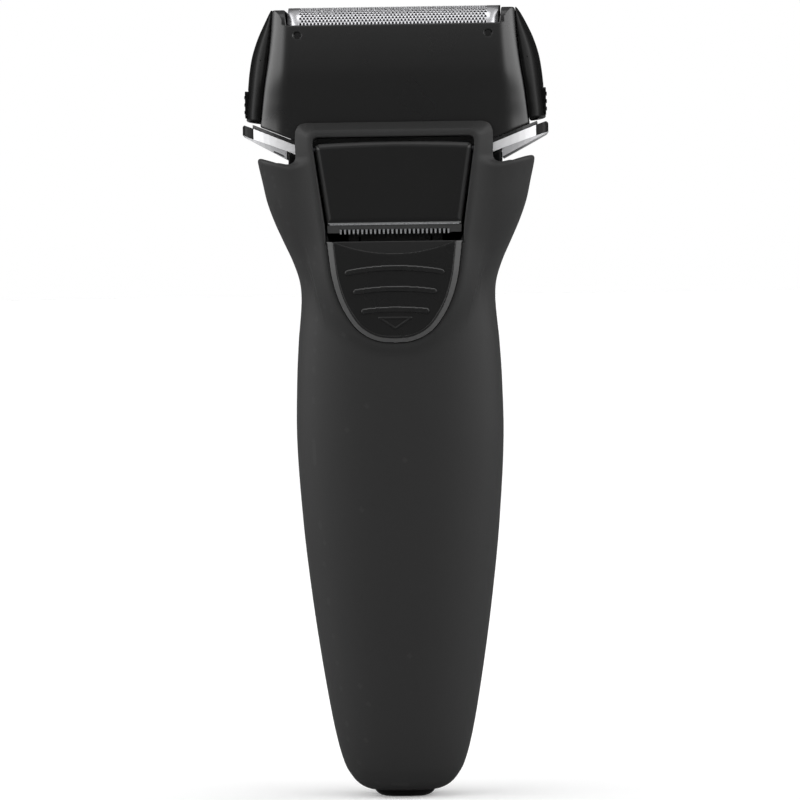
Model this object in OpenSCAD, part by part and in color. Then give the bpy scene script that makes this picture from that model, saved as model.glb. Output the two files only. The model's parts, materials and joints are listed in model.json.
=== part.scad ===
// Cordless foil shaver: a waisted handle with a pop-up trimmer and its release slider
// on the rear (-Y) side, and a rocking head with two foils and a middle trimmer on top.
// Units mm. +Z up, origin at the centre of the foot face on the resting plane. The
// trimmer faces -Y, the power button +Y; left is -X. Symmetric about X = 0 but for a slot.

node = "all";

/* [Handle] */
// Half width of the handle at the waist, below the head
waist_half = 19.65; // [19.2:0.05:20.2]
// Half width of the handle at the widest part of the grip
grip_half = 20.96; // [20:0.02:22]
// Half width of the shoulders under the head
shoulder_half = 28; // [27:0.1:28.6]
// Wall thickness of the two handle shells
wall = 2; // [1.6:0.1:2.2]

/* [Head] */
// Half width of the foils
foil_half = 21.1; // [20.4:0.1:21.2]
// Outer radius of each foil's arch
foil_radius = 5; // [4.9:0.02:5]
// Number of lamellae on each cutter block
lamellae = 25; // [15:2:27]
// Height a foil stands above the frame rim
foil_rise = 3.2; // [2:0.1:3.6]

/* [Trimmer] */
// Number of teeth on the long-hair trimmer
trim_teeth = 26; // [18:2:28]
// Spacing of the trimmer teeth
trim_pitch = 0.86; // [0.8:0.01:0.88]

/* [Controls] */
// Radius of the power button
power_radius = 6.4; // [5.5:0.1:6.4]
// Number of grip ridges on the slider
ridges = 3; // [2:1:3]

/* [Charging inlet] */
// Radius of the two contact pins
pin_radius = 0.75; // [0.6:0.05:0.8]
// Half spacing of the two contact pins
pin_x = 2.2; // [2:0.1:2.3]

/* [Hidden] */
$fn = 48;
sides = [-1, 1];

shell_color = [0.22, 0.22, 0.22];
gloss_color = [0.07, 0.07, 0.07];
face_color = [0.15, 0.15, 0.15];
panel_color = [0.13, 0.13, 0.13];
silver_color = [0.84, 0.84, 0.85];
steel_color = [0.74, 0.75, 0.77];
brass_color = [0.80, 0.66, 0.36];
white_color = [0.88, 0.88, 0.86];
green_color = [0.10, 0.32, 0.18];
blue_color = [0.20, 0.33, 0.55];
rubber_color = [0.05, 0.05, 0.05];

// places shared by several pieces
screw_x = 12;        // housing screws
screw_z = 124.2;
power_z = 98;        // power button
lamp_low = 74;       // ends of the light pipe slot
lamp_high = 78;
motor_radius = 9;
motor_screw_x = 5.5;
battery_radius = 7;
hinge_y = -15.4;     // trimmer hinge
hinge_z = 131.2;
hinge_spring_x = 6.6;
catch_screw_z = 103;
pivot_z = 128;       // axis the head rocks on
collar_x = 19.7;     // inner end of each silver collar
release_z = 140.7;   // head release buttons
foil_y = 6.2;        // centre of each foil's arch
foil_z = 156.7 + foil_rise - foil_radius;
post_x = 10;         // cutter posts and springs
spring_z = 143.55;   // foot of the cutter springs
middle_pitch = 1.06; // slots of the middle trimmer
middle_slots = [-16:16];

// Handle tables, each row [height, value]
width_table = [
  [1.4, 7.6], [2.6, 9.4], [3.9, 10.6], [6.3, 12.05], [11.5, 13.6], [19.7, 15.2], [31.8, 17.1],
  [44, 18.7], [56.1, 19.95], [72.3, grip_half], [84.5, grip_half - 0.16], [92.6, 20.35],
  [100.7, waist_half], [104.7, waist_half + 0.25], [108.8, 21.2], [112.8, 23], [116.9, 24.8],
  [120.9, 26.2], [125, 27.1], [129, shoulder_half - 0.05], [131, shoulder_half + 0.2]];
rear_depth_table = [
  [1.4, 5.4], [2.6, 7], [3.9, 8.2], [6.3, 9.7], [11.5, 11.3], [19.7, 12.7], [31.8, 14],
  [44, 15.1], [56, 15.9], [72, 16.6], [84, 16.8], [100, 16.8], [131, 16.6]];
front_depth_table = [
  [1.4, 5.4], [2.6, 7], [3.9, 8.2], [6.3, 9.7], [11.5, 11.4], [19.7, 12.9], [31.8, 14.3],
  [44, 15.4], [56, 16.1], [72, 16.5], [84, 16.3], [100, 15.8], [112, 15.3], [122, 14.8],
  [131, 14.3]];
// superellipse exponent: larger is squarer
squareness_table = [[1.4, 2.2], [40, 2.3], [80, 2.5], [100, 2.7], [115, 3.2], [131, 4]];

// Head tables, each row [height, value]
head_depth_table = [
  [132, 12.1], [137, 12.2], [141, 12.6], [146, 13.1], [150, 13], [154, 12.6], [157, 12.1],
  [159.6, 11.7]];
// edge line between face and side panel
head_edge_table = [[132, 27.5], [136.5, 27], [143.2, 26.2], [149.1, 25.3], [154.6, 24.7],
  [159.6, 24.4]];
// outermost x of the side panel
head_side_table = [
  [136, 30.35], [139, 30.35], [143.2, 30], [147.2, 29.6], [150.5, 29], [153.7, 27.95],
  [156.2, 26.8], [158.6, 25.5], [159.8, 24.6]];

// section heights of the handle's outer skin and of its cavity
outer_heights = [
  1.4, 1.9, 2.6, 3.9, 6.3, 9, 12, 16, 21, 27, 34, 42, 51, 60, 69, 78, 85, 91, 96, 100, 103, 106,
  109, 112, 115, 118, 121, 125, 128, 131];
inner_heights = [7, 12, 20, 32, 45, 60, 75, 88, 96, 101, 106, 111, 116, 121.8];

// ---- interpolation: a smooth cubic between table rows ----
function row_at(table, z, i = 0) =
  (i >= len(table) - 2 || z < table[i + 1][0]) ? i : row_at(table, z, i + 1);
function slope(table, i) =
  let(a = max(0, i - 1), b = min(len(table) - 1, i + 1))
  (table[b][1] - table[a][1]) / (table[b][0] - table[a][0]);
function value_at(table, z) =
  let(i = row_at(table, z),
      step = table[i + 1][0] - table[i][0],
      u = min(1, max(0, (z - table[i][0]) / step)),
      start_slope = slope(table, i) * step,
      end_slope = slope(table, i + 1) * step)
  (2*u*u*u - 3*u*u + 1) * table[i][1] + (u*u*u - 2*u*u + u) * start_slope
  + (3*u*u - 2*u*u*u) * table[i + 1][1] + (u*u*u - u*u) * end_slope;

// ---- shape helpers ----
function signed_pow(base, power) = sign(base) * pow(abs(base), power);
function superellipse(half_x, half_y, exponent, count) =
  [for (j = [0:count - 1]) let(angle = 360 * j / count)
    [half_x * signed_pow(cos(angle), 2 / exponent), half_y * signed_pow(sin(angle), 2 / exponent)]];
// half outline completed by its mirror image; points on the centre line aren't repeated
function mirrored(half) =
  concat(half, [for (i = [len(half) - 1:-1:0]) if (abs(half[i][0]) > 0.001)
    [-half[i][0], half[i][1]]]);

module box(low, high) {
  translate(low) cube(high - low);
}
// prism of an XZ outline between two y planes
module prism_y(outline, y0, y1) {
  translate([0, y1, 0]) rotate([90, 0, 0]) linear_extrude(y1 - y0) polygon(outline);
}
// prism of a YZ outline between two x planes
module prism_x(outline, x0, x1) {
  translate([x0, 0, 0]) rotate([90, 0, 90]) linear_extrude(x1 - x0) polygon(outline);
}
module rod_x(x0, x1, y, z, r) {
  translate([x0, y, z]) rotate([0, 90, 0]) cylinder(r = r, h = x1 - x0);
}
module rod_y(y0, y1, x, z, r) {
  translate([x, y1, z]) rotate([90, 0, 0]) cylinder(r = r, h = y1 - y0);
}
module rod_z(z0, z1, x, y, r) {
  translate([x, y, z0]) cylinder(r = r, h = z1 - z0);
}
// rod along Y on the rear (-1) or front (1), between two distances from y = 0
module side_rod_y(side, near, far, x, z, r) {
  rod_y(min(side * near, side * far), max(side * near, side * far), x, z, r);
}
// moves a piece drawn on the right to the left when side is -1
module on_side(side) {
  mirror([side < 0 ? 1 : 0, 0, 0]) children();
}

// closed loft through rings of equal length (counter-clockwise seen from above)
module ring_loft(rings) {
  last = len(rings) - 1;
  count = len(rings[0]);
  points = [for (ring = rings) each ring];
  skin = [for (i = [0:last - 1], j = [0:count - 1])
    let(k = (j + 1) % count, a = i * count + j, b = i * count + k, c = a + count, d = b + count)
    each [[a, c, d], [a, d, b]]];
  caps = [[for (j = [0:count - 1]) j], [for (j = [count - 1:-1:0]) last * count + j]];
  polyhedron(points, concat(skin, caps), convexity = 6);
}

// loft along Y through [half XZ outline, y] sections of equal length, largest y first
module loft_y(sections) {
  ring_loft([for (section = sections) let(outline = mirrored(section[0]))
    [for (k = [len(outline) - 1:-1:0]) [outline[k][0], section[1], outline[k][1]]]]);
}

// rear (-1) or front (1) half of the handle, shrunk by inset, its flat face at seam_y
module half_loft(side, heights, steps, inset, seam_y) {
  last = len(heights) - 1;
  row = steps + 1;
  depth_table = side < 0 ? rear_depth_table : front_depth_table;
  points = [for (z = heights)
    let(half_x = value_at(width_table, z) - inset,
        depth = value_at(depth_table, z) - inset,
        power = 2 / value_at(squareness_table, z))
    for (j = [0:steps])
      let(angle = 180 * j / steps,
          y = (j == 0 || j == steps) ? seam_y : depth * pow(sin(angle), power))
      [half_x * signed_pow(cos(angle), power), side * max(seam_y, y), z]];
  skin = [for (i = [0:last - 1], j = [0:steps - 1])
    let(a = i * row + j, b = a + 1, c = a + row, d = c + 1)
    each [[a, c, d], [a, d, b]]];
  caps = [[for (j = [0:steps]) j], [for (j = [steps:-1:0]) last * row + j]];
  seam = [for (i = [0:last - 1])
    [i * row, i * row + steps, (i + 1) * row + steps, (i + 1) * row]];
  faces = concat(skin, caps, seam);
  reversed = [for (face = faces) [for (k = [len(face) - 1:-1:0]) face[k]]];
  polyhedron(points, side > 0 ? faces : reversed, convexity = 6);
}

// coil spring along Z from the origin
module coil(radius, wire, height, turns, steps = 10) {
  last = ceil(turns * steps);
  wire_sides = 5;
  ring_loft([for (i = [0:last])
    let(turn = 360 * turns * i / last, z = wire + (height - 2 * wire) * i / last)
    [for (j = [0:wire_sides - 1])
      let(angle = -360 * j / wire_sides, reach = radius + wire * cos(angle))
      [reach * cos(turn), reach * sin(turn), z + wire * sin(angle)]]]);
}

// ---- handle shells ----
// half outline of the slider, rows [x, z]
slider_points = [
  [13.6, 112.8], [13.25, 109.5], [12.8, 106.1], [12, 102.8], [10.9, 99.9], [9.5, 97.4],
  [7.8, 95.2], [5.6, 93.6], [3, 92.65], [0, 92.4]];
// that outline grown sideways above z = 106, and radially below it
function slider_outline(grow) =
  [for (point = slider_points) let(arm = point - [0, 106])
    point[1] > 106 ? point + [grow, 0] : point + arm / norm(arm) * grow];

// raised pad around the trimmer and slider: half outlines of its foot and top, rows [x, z]
pad_foot = concat(
  [[17.6, 136.6], [18.9, 136.2], [19.6, 135.2], [19.8, 133.6], [19.6, 128], [18.2, 118]],
  slider_outline(3.6));
pad_top = concat(
  [[15.6, 134.9], [16.4, 134.5], [16.8, 134], [16.9, 133.2], [16.6, 130], [15.3, 119]],
  slider_outline(0.9));
// half outlines of the trimmer panel and of the recess it lies in, rows [x, z]
panel_points = [
  [0, 132.75], [6, 132.65], [12, 132.45], [15, 132.25], [15.55, 131.9], [15.66, 131.2],
  [14.5, 123.6], [13.45, 116.3], [0, 116.3]];
recess_points = [
  [0, 133.6], [15.2, 133.6], [15.9, 133.3], [16.1, 132.6], [16.02, 131.2], [14.95, 123.6],
  [13.85, 115.8], [13.75, 112.3], [0, 112.3]];
// left half of the V-shaped line the shells are cut off at, rows [x, z]
shoulder_points = [
  [-40, 140], [-40, 130.6], [-28.6, 130.6], [-28.1, 130.05], [-27.4, 129.85], [-21.6, 128.4]];

module shoulder_cut_rear() {
  prism_y(mirrored(shoulder_points), -40, 40);
}
// tilted down towards the front, and raised in the middle to hide the pivot
module shoulder_cut_front() {
  translate([0, 0, 129]) rotate([-4, 0, 0]) translate([0, 0, -129])
    prism_y(mirrored(concat(shoulder_points, [[-20.4, 131.4]])), -40, 40);
}
// the well the head rocks in and the hole its neck passes through
module head_well() {
  prism_y(mirrored([[-26, 140], [-26, 129.5], [-21.6, 126.4]]), -12.9, 12.9);
  box([-9.5, -10, 115], [9.5, 10, 130]);
}
function inlet_outline(half_x, half_y) = superellipse(half_x, half_y, 2.6, 48);
module inlet_hole() {
  translate([0, 0, -1]) linear_extrude(9) polygon(inlet_outline(6.35, 4.55));
}
module handle_cavity(side) {
  half_loft(side, inner_heights, 14, wall, -1);
}
// slot with round ends, for the light pipe
module lamp_slot(y0, y1, r) {
  rod_y(y0, y1, 0, lamp_high, r);
  rod_y(y0, y1, 0, lamp_low, r);
  box([-r, y0, lamp_low], [r, y1, lamp_high]);
}

module rear_housing() color(shell_color) difference() {
  union() {
    difference() {
      half_loft(-1, outer_heights, 20, 0, 0.15);
      shoulder_cut_rear();
      head_well();
      handle_cavity(-1);
    }
    difference() {
      loft_y([[pad_foot, -12.9], [pad_foot, -13.8], [pad_top, -17.3]]);
      handle_cavity(-1);
    }
  }
  prism_y(mirrored(recess_points), -20, -13.8);
  rod_x(-17.4, 17.4, hinge_y, hinge_z, 0.62);
  // slot for the slider's stem
  box([-2.7, -20, 94.2], [2.7, -12, 108.3]);
  inlet_hole();
  for (side = sides) {
    rod_y(-14, 9, side * screw_x, screw_z, 1.02);
    rod_y(-14, -12, side * screw_x, screw_z, 2.05);
  }
}

module front_housing() color(shell_color) difference() {
  half_loft(1, outer_heights, 20, 0, 0.15);
  handle_cavity(1);
  shoulder_cut_front();
  head_well();
  inlet_hole();
  for (side = sides) rod_y(-1, 9, side * screw_x, screw_z, 0.85);
  rod_y(10, 20, 0, power_z, power_radius + 0.3);
  rod_y(14.7, 20, 0, power_z, power_radius + 1.75);
  lamp_slot(10, 20, 1.65);
}

// thin strips in the parting line, left and right, set back from the outer surface
gasket_heights = [8, 12, 18, 26, 36, 48, 60, 72, 84, 92, 98, 102, 106, 110, 114, 118];
function handle_outline(heights, inset) =
  mirrored([for (z = heights) [value_at(width_table, z) - inset, z]]);
module seam_gasket() color(rubber_color) difference() {
  prism_y(handle_outline(concat(gasket_heights, [121.5]), 0.45), -0.14, 0.14);
  prism_y(handle_outline(concat([5], gasket_heights, [124]), 1.7), -1, 1);
}

// cross-head screws
module housing_screws() color(steel_color) for (side = sides) difference() {
  union() {
    rod_y(-13.5, -12.05, side * screw_x, screw_z, 1.9);
    rod_y(-12.1, 7, side * screw_x, screw_z, 0.8);
  }
  for (half = [[0.3, 1.3], [1.3, 0.3]])
    box([side * screw_x - half[0], -14, screw_z - half[1]],
        [side * screw_x + half[0], -12.9, screw_z + half[1]]);
}

// ---- inside the handle ----
module chassis() color([0.3, 0.3, 0.32]) difference() {
  union() {
    // back plate
    box([-7, -11.4, 39], [7, -9.6, 116.5]);
    box([-7, -11.4, 39], [7, -8, 41]);
    box([-6, -9.4, 26], [6, -8, 41]);
    // floor under the battery
    box([-7.5, -9.4, 26], [7.5, 8.6, 27.8]);
    // rear ledge below the slider spring
    box([-2.2, -14.2, 84], [2.2, -11.3, 85.5]);
    // shelves below and above the motor, joined by side rails
    box([-8, -11.4, 81.6], [8, 8.6, 83.4]);
    box([-9.4, -11.4, 113.8], [9.4, 9.6, 116.2]);
    for (side = sides) box([side * 8.4 - 1, -11.4, 81.6], [side * 8.4 + 1, -8.4, 116.2]);
    // ribs behind the motor and the battery
    box([-8, -11.4, 87], [8, -7.2, 89]);
    box([-8, -11.4, 104], [8, -7.2, 106]);
    box([-6.5, -9.4, 34], [6.5, -5.6, 36]);
    box([-7, -11.4, 70], [7, -5.6, 72]);
  }
  rod_z(84, 113.8, 0, 0, motor_radius + 0.05);
  rod_z(28, 81, 0, 0, battery_radius + 0.05);
  rod_z(110, 118, 0, 0, 3.1);
  for (side = sides) rod_z(110, 118, side * motor_screw_x, 0, 0.8);
  for (side = sides) box([side * 5 - 1.5, 6.5, 20], [side * 5 + 1.5, 9, 30]);
}
module battery() color(blue_color) {
  rod_z(30, 78.6, 0, 0, battery_radius);
  rod_z(78.59, 79.6, 0, 0, 2.8);
}
module battery_tabs() color(steel_color) {
  box([-2.5, -3, 79.62], [2.5, 9.75, 79.85]);
  box([-2.5, -3, 29.7], [2.5, 9.75, 29.98]);
}
// board with three block-shaped parts and four corner holes
module circuit_board() color(green_color) difference() {
  union() {
    box([-8.5, 9.8, 40], [8.5, 10.8, 108]);
    box([-5, 10.8, 52], [1, 12, 58]);
    box([2.6, 10.8, 60], [5.6, 11.6, 63]);
    box([-6, 10.8, 84], [-3, 11.8, 88]);
  }
  for (side = sides, z = [43, 105]) rod_y(9, 12, side * 6.8, z, 0.9);
}
module power_switch() color([0.15, 0.15, 0.16]) difference() {
  box([-3, 10.8, power_z - 3], [3, 11.95, power_z + 3]);
  rod_y(11.1, 14, 0, power_z, 1.1);
}
module led() color([0.8, 0.9, 0.8]) {
  box([-1, 10.8, 75], [1, 11.6, 77]);
}
module light_pipe() color([0.86, 0.9, 0.92, 0.6]) intersection() {
  lamp_slot(11.7, 16.6, 1.6);
  box([-3, 11, 70], [3, 16.55, 82]);
}
// can and its top boss, both bored for the shaft
module motor() color(steel_color) {
  difference() {
    rod_z(84.2, 112.4, 0, 0, motor_radius);
    rod_z(111, 113, 0, 0, 1.05);
  }
  difference() {
    rod_z(112.39, 113.7, 0, 0, 3);
    rod_z(112, 114, 0, 0, 1.05);
  }
}
module motor_terminals() color(brass_color) for (side = sides)
  box([side * 5 - 1, -0.25, 83.45], [side * 5 + 1, 0.25, 84.15]);
module motor_screws() color(steel_color) for (side = sides) difference() {
  union() {
    rod_z(116.25, 117.1, side * motor_screw_x, 0, 1.4);
    rod_z(113.85, 116.3, side * motor_screw_x, 0, 0.75);
  }
  box([side * motor_screw_x - 1, -0.25, 116.7], [side * motor_screw_x + 1, 0.25, 118]);
}
module motor_shaft() color(steel_color) rod_z(111.2, 119.6, 0, 0, 1);
// hub on the shaft with an off-centre drive pin
module eccentric() color(white_color) difference() {
  union() {
    rod_z(117.4, 120.4, 0, 0, 3.2);
    rod_z(120.39, 126.4, 0.5, 0, 0.7);
  }
  rod_z(117, 119.62, 0, 0, 1.02);
}

// ---- charging inlet ----
// rounded lower end of the inlet, rows [z, half x, half y]
inlet_sections = [
  [0, 4.3, 2.4], [0.2, 4.9, 3.1], [0.5, 5.45, 3.65], [0.9, 5.9, 4.1], [1.3, 6.15, 4.35],
  [1.7, 6.3, 4.5], [8.9, 6.3, 4.5]];
module inlet() color(gloss_color) difference() {
  union() {
    ring_loft([for (row = inlet_sections)
      [for (point = inlet_outline(row[1], row[2])) [point[0], point[1], row[0]]]]);
    // flange inside the handle
    translate([0, 0, 8.2]) linear_extrude(1.2) polygon(inlet_outline(7.6, 5.6));
  }
  translate([0, 0, -1]) linear_extrude(7.2) polygon(inlet_outline(4, 2));
  for (side = sides) box([side * pin_x - 0.47, -0.47, 5], [side * pin_x + 0.47, 0.47, 12]);
}
// round pins with tapered ends and square tails
module inlet_pins() color(silver_color) for (side = sides) {
  rod_z(1.6, 6, side * pin_x, 0, pin_radius);
  box([side * pin_x - 0.45, -0.45, 5.99], [side * pin_x + 0.45, 0.45, 11.6]);
  translate([side * pin_x, 0, 1.2]) cylinder(r1 = pin_radius - 0.35, r2 = pin_radius, h = 0.41);
}

// ---- power button on the front ----
// [radius, height] profile turned about the button's axis, its foot at y
module turned_button(y, profile) {
  translate([0, y, power_z]) rotate([-90, 0, 0]) rotate_extrude() polygon(profile);
}
module power_button() color(face_color) {
  turned_button(12.65, [
    [0, 0], [power_radius + 1, 0], [power_radius + 1, 0.4], [power_radius, 0.4],
    [power_radius, 3.55], [power_radius - 0.25, 3.9], [power_radius - 0.8, 4.05],
    [3, 3.8], [0, 3.75]]);
  rod_y(11.75, 12.66, 0, power_z, 1);
}
module button_ring() color(silver_color)
  turned_button(14.72, [
    [power_radius + 0.3, 0], [power_radius + 1.7, 0], [power_radius + 1.7, 1],
    [power_radius + 1.3, 1.45], [power_radius + 0.7, 1.45], [power_radius + 0.3, 1.15]]);

// ---- trimmer ----
panel_face = [for (p = panel_points)
  [p[0] > 1 ? p[0] - 0.9 : 0, p[1] > 125 ? p[1] - 0.35 : p[1]]];
module trimmer_panel() color(panel_color) difference() {
  union() {
    loft_y([[panel_points, -16.6], [panel_face, -17.2]]);
    prism_y(mirrored(panel_points), -16.65, -15.9);
    // rim on the inner side
    difference() {
      prism_y(mirrored([for (p = panel_points) [p[0], min(p[1], 130.2)]]), -16, -14.5);
      prism_y(mirrored([[0, 128.6], [13.4, 128.6], [12.75, 121.4], [12.65, 115], [0, 115]]),
        -17, -14);
    }
    rod_x(-15.3, 15.3, hinge_y, hinge_z, 1.2);
  }
  rod_x(-20, 20, hinge_y, hinge_z, 0.66);
  for (side = sides)
    rod_x(side * hinge_spring_x - 2.6, side * hinge_spring_x + 2.6, hinge_y, hinge_z, 1.55);
  box([-20, -14.52, 100], [20, -13, 140]);
  // seat of the comb
  prism_y(mirrored([[-12.7, 119.6], [-12.7, 115]]), -16.22, -15);
}
// row of tapered teeth pointing down from root_z
module tooth_row(root_half, root_z, y0, y1) {
  tip_half = root_half - 0.08;
  tip_z = root_z - 0.96;
  for (i = [0:trim_teeth - 1]) let(x = (i - (trim_teeth - 1) / 2) * trim_pitch)
    prism_y([[x - root_half, root_z], [x - tip_half, tip_z], [x + tip_half, tip_z],
      [x + root_half, root_z]], y0, y1);
}
module trimmer_comb() color(steel_color) {
  box([-12.6, -16.2, 115.2], [12.6, -15.75, 119.4]);
  box([-12.9, -16.98, 116.08], [12.9, -16.19, 116.28]);
  tooth_row(0.22, 115.21, -16.2, -15.75);
}
// dark strip across the outer face of the comb
module comb_cover() color(gloss_color)
  prism_y(mirrored([[-13.4, 116.06], [-13.3, 114.5], [-11, 114.5], [-11, 115.2]]),
    -16.85, -16.22);
module trimmer_blade() color(silver_color) {
  box([-11.4, -15.73, 115.4], [11.4, -15.35, 118.6]);
  tooth_row(0.2, 115.41, -15.73, -15.35);
}
module blade_dog() color(white_color) difference() {
  box([-4, -15.33, 115.9], [4, -14.55, 118.4]);
  box([-0.8, -15.4, 115], [0.8, -14, 117.2]);
}
module blade_retainer() color(panel_color) difference() {
  box([-12.5, -15.72, 119.5], [12.5, -14.6, 121.2]);
  for (side = sides) rod_y(-17, -14, side * 8, 120.35, 0.5);
}
module trimmer_pin() color(steel_color) rod_x(-17.2, 17.2, hinge_y, hinge_z, 0.6);
module trimmer_springs() color(steel_color) for (side = sides)
  translate([side * hinge_spring_x - 2.3, hinge_y, hinge_z]) rotate([0, 90, 0])
    coil(1.05, 0.22, 4.6, 6);

// ---- trimmer release slider ----
// curved grip ridges from the top down, rows [height of the crest, half width]
ridge_table = [[107.9, 9.9], [103.75, 8.3], [99.65, 6.75]];
slider_base = concat([[0, 112.8]], slider_outline(0));
slider_face = concat([[0, 112.5]], [for (p = slider_outline(-1.2)) [p[0], min(112.5, p[1])]]);
module slider_ridge(i) {
  radius = 51 + 3 * i;
  crest = ridge_table[i][0];
  half = ridge_table[i][1];
  intersection() {
    translate([0, -18.5, crest - radius]) rotate([90, 0, 0]) rotate_extrude($fn = 96)
      polygon([[radius - 0.9, 0], [radius, 0], [radius - 0.15, 0.4], [radius - 0.75, 0.4]]);
    box([-half, -20, 90], [half, -18, 115]);
  }
}
module slider() color(panel_color) {
  difference() {
    union() {
      prism_y(mirrored(slider_base), -17.8, -17.42);
      loft_y([[slider_base, -17.75], [slider_face, -18.6]]);
    }
    // thumb scoop at the top edge
    rod_y(-20, -18.15, 0, 141.8, 31.5);
  }
  for (i = [0:ridges - 1]) slider_ridge(i);
  // hollow triangle pointing down
  difference() {
    prism_y(mirrored([[-3.3, 97.6], [0, 95.3]]), -18.8, -18.5);
    prism_y(mirrored([[-2.2, 97.2], [0, 95.7]]), -19, -18.4);
  }
  // stem through the shell
  box([-2.4, -17.5, 97.2], [2.4, -14.55, 107.9]);
}
module slider_catch() color(white_color) difference() {
  union() {
    box([-5, -14.5, 96.6], [5, -13.5, 109.4]);
    box([-2, -13.51, 96.6], [2, -11.9, 97.8]);
  }
  rod_y(-15, -13, 0, catch_screw_z, 0.7);
}
module slider_screw() color(steel_color) difference() {
  union() {
    rod_y(-13.48, -12.6, 0, catch_screw_z, 1.5);
    rod_y(-14.49, -13.4, 0, catch_screw_z, 0.65);
  }
  rod_y(-12.9, -12, 0, catch_screw_z, 0.6);
}
module slider_spring() color(steel_color) translate([0, -13.1, 85.6]) coil(1.1, 0.2, 10.9, 8);

// ---- head base and collars ----
// the head's seat line above the silver collars
function seat_z(x) = 132.2 + max(0, abs(x) - collar_x) * 0.405;
// squarish column that trims the collars and the base to the head's plan
module head_plan(half_x, half_y) {
  translate([0, 0, 120]) linear_extrude(30) polygon(superellipse(half_x, half_y, 4, 72));
}
module collar(side) color(silver_color) on_side(side) intersection() {
  prism_y([[collar_x, 132.16], [28.38, 135.7], [28.38, 133.57], [collar_x, 130.4]], -20, 20);
  head_plan(31.2, 12.3);
}
module collar_cap(side) color(gloss_color) on_side(side) intersection() {
  prism_y([[28.4, 135.72], [30.4, 136.5], [30.8, 136.2], [30.8, 134.5], [28.4, 133.6]], -20, 20);
  head_plan(31.2, 12.3);
}
module collar_foot(side) color(silver_color) on_side(side) difference() {
  intersection() {
    prism_y([[21.6, 131.08], [30.7, 134.42], [30.5, 134.1], [21.6, 129.35]], -20, 20);
    head_plan(31, 12);
  }
  // vent slot, on the left foot only
  if (side < 0)
    prism_y([[22.1, 129.86], [24.2, 130.88], [24.2, 131.2], [22.1, 130.18]], -20, -9);
}
// flange on the collars, tray above it and hollow neck below
module head_base() color(face_color) difference() {
  union() {
    intersection() {
      prism_y(mirrored([
        [0, seat_z(0) + 0.02], [collar_x, seat_z(0) + 0.02], [28.6, seat_z(28.6) + 0.02],
        [28.6, seat_z(28.6) + 0.75], [collar_x, seat_z(0) + 0.75], [0, seat_z(0) + 0.75]]),
        -11.9, 11.9);
      head_plan(30.6, 11.9);
    }
    box([-20.8, -10.6, 132.7], [20.8, 10.6, 139]);
    box([-8.6, -9.6, 120.6], [8.6, 9.6, 132.6]);
  }
  box([-19.4, -9.2, 134.6], [19.4, 9.2, 140]);
  box([-7, -6.2, 119], [7, 6.2, 135]);
  rod_y(-13, 13, 0, pivot_z, 1.56);
}
module pivot_brackets() color(steel_color) for (side = sides) difference() {
  box([-4, side * 11.3 - 1.3, 126.42], [4, side * 11.3 + 1.3, 130.9]);
  rod_y(-14, 14, 0, pivot_z, 1.52);
}
module pivot_pins() color(steel_color) for (side = sides)
  side_rod_y(side, 6.5, 12.6, 0, pivot_z, 1.5);
module neck_gasket() color(rubber_color) difference() {
  box([-19, -9.8, 126.42], [19, 9.8, 127]);
  box([-9.9, -11, 126], [9.9, 11, 128]);
}

// ---- head frame ----
// ring at height z: flat faces, elliptical corners out to the edge line, flat sides
function frame_ring(z) =
  let(depth = value_at(head_depth_table, z), edge = value_at(head_edge_table, z),
      flat = 20.6, setback = 3.3, sweep = 64, steps = 6,
      corner = [for (k = [0:steps]) let(angle = sweep * k / steps)
        [flat + (edge - flat) * sin(angle) / sin(sweep),
         depth - setback * (1 - cos(angle)) / (1 - cos(sweep))]],
      back = [for (k = [steps:-1:0]) corner[k]])
  concat([for (p = back) [p[0], p[1], z]], [for (p = corner) [-p[0], p[1], z]],
    [for (p = back) [-p[0], -p[1], z]], [for (p = corner) [p[0], -p[1], z]]);
module foil_frame() color(face_color) difference() {
  ring_loft([for (z = [132.6, 135, 137.5, 140, 142.5, 145, 148, 151, 154, 156.7, 159.4])
    frame_ring(z)]);
  box([-21.5, -11.35, 130], [21.5, 11.35, 161]);
  prism_y(mirrored([[-21.9, 161], [-21.3, 156.2]]), -20, 20);
  // underside follows the seat line
  prism_y(mirrored([[0, 130], [40, 130], [40, seat_z(40) + 0.85], [collar_x, seat_z(0) + 0.85],
    [0, seat_z(0) + 0.85]]), -20, 20);
  // rounded top rims, rear and front
  for (side = sides) difference() {
    box([-30, side < 0 ? -14 : 8.7, 156.4], [30, side < 0 ? -8.7 : 14, 162]);
    rod_x(-31, 31, side * 8.7, 156.4, 3.05);
  }
  // small round dimples near the face corners
  for (side = sides, end = sides) side_rod_y(side, 12.2, 14, end * 19.1, 154.1, 0.7);
  for (side = sides) on_side(side) box([22.5, -6.6, 136.5], [27.7, 6.6, 149]);
}
// bulged half ring at height z, flat on its inner side
function panel_ring(z, side) =
  let(edge = value_at(head_edge_table, z) + 0.04,
      bulge = value_at(head_side_table, z) - edge,
      half_y = value_at(head_depth_table, z) - 3.36,
      steps = 16)
  [for (j = [0:steps]) let(angle = 180 * j / steps)
    [side * (edge + bulge * pow(sin(angle), 0.9)), -side * half_y * cos(angle), z]];
module side_panel(side) color(gloss_color) difference() {
  ring_loft([for (z = [136.4, 137.2, 140, 143, 146, 149, 151.5, 154, 156, 157.7, 158.8, 159.6])
    panel_ring(z, side)]);
  on_side(side) {
    // pocket behind the panel
    prism_y([[20, 135], [28.75, 135], [28.7, 142], [28.2, 147.2], [20, 149]], -6.4, 6.4);
    // opening for the release button
    box([20, -4.05, 137.95], [40, 4.05, 143.45]);
    prism_y([[20, 135], [40, 135], [40, 137.3], [20, 136.6]], -20, 20);
  }
}
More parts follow.
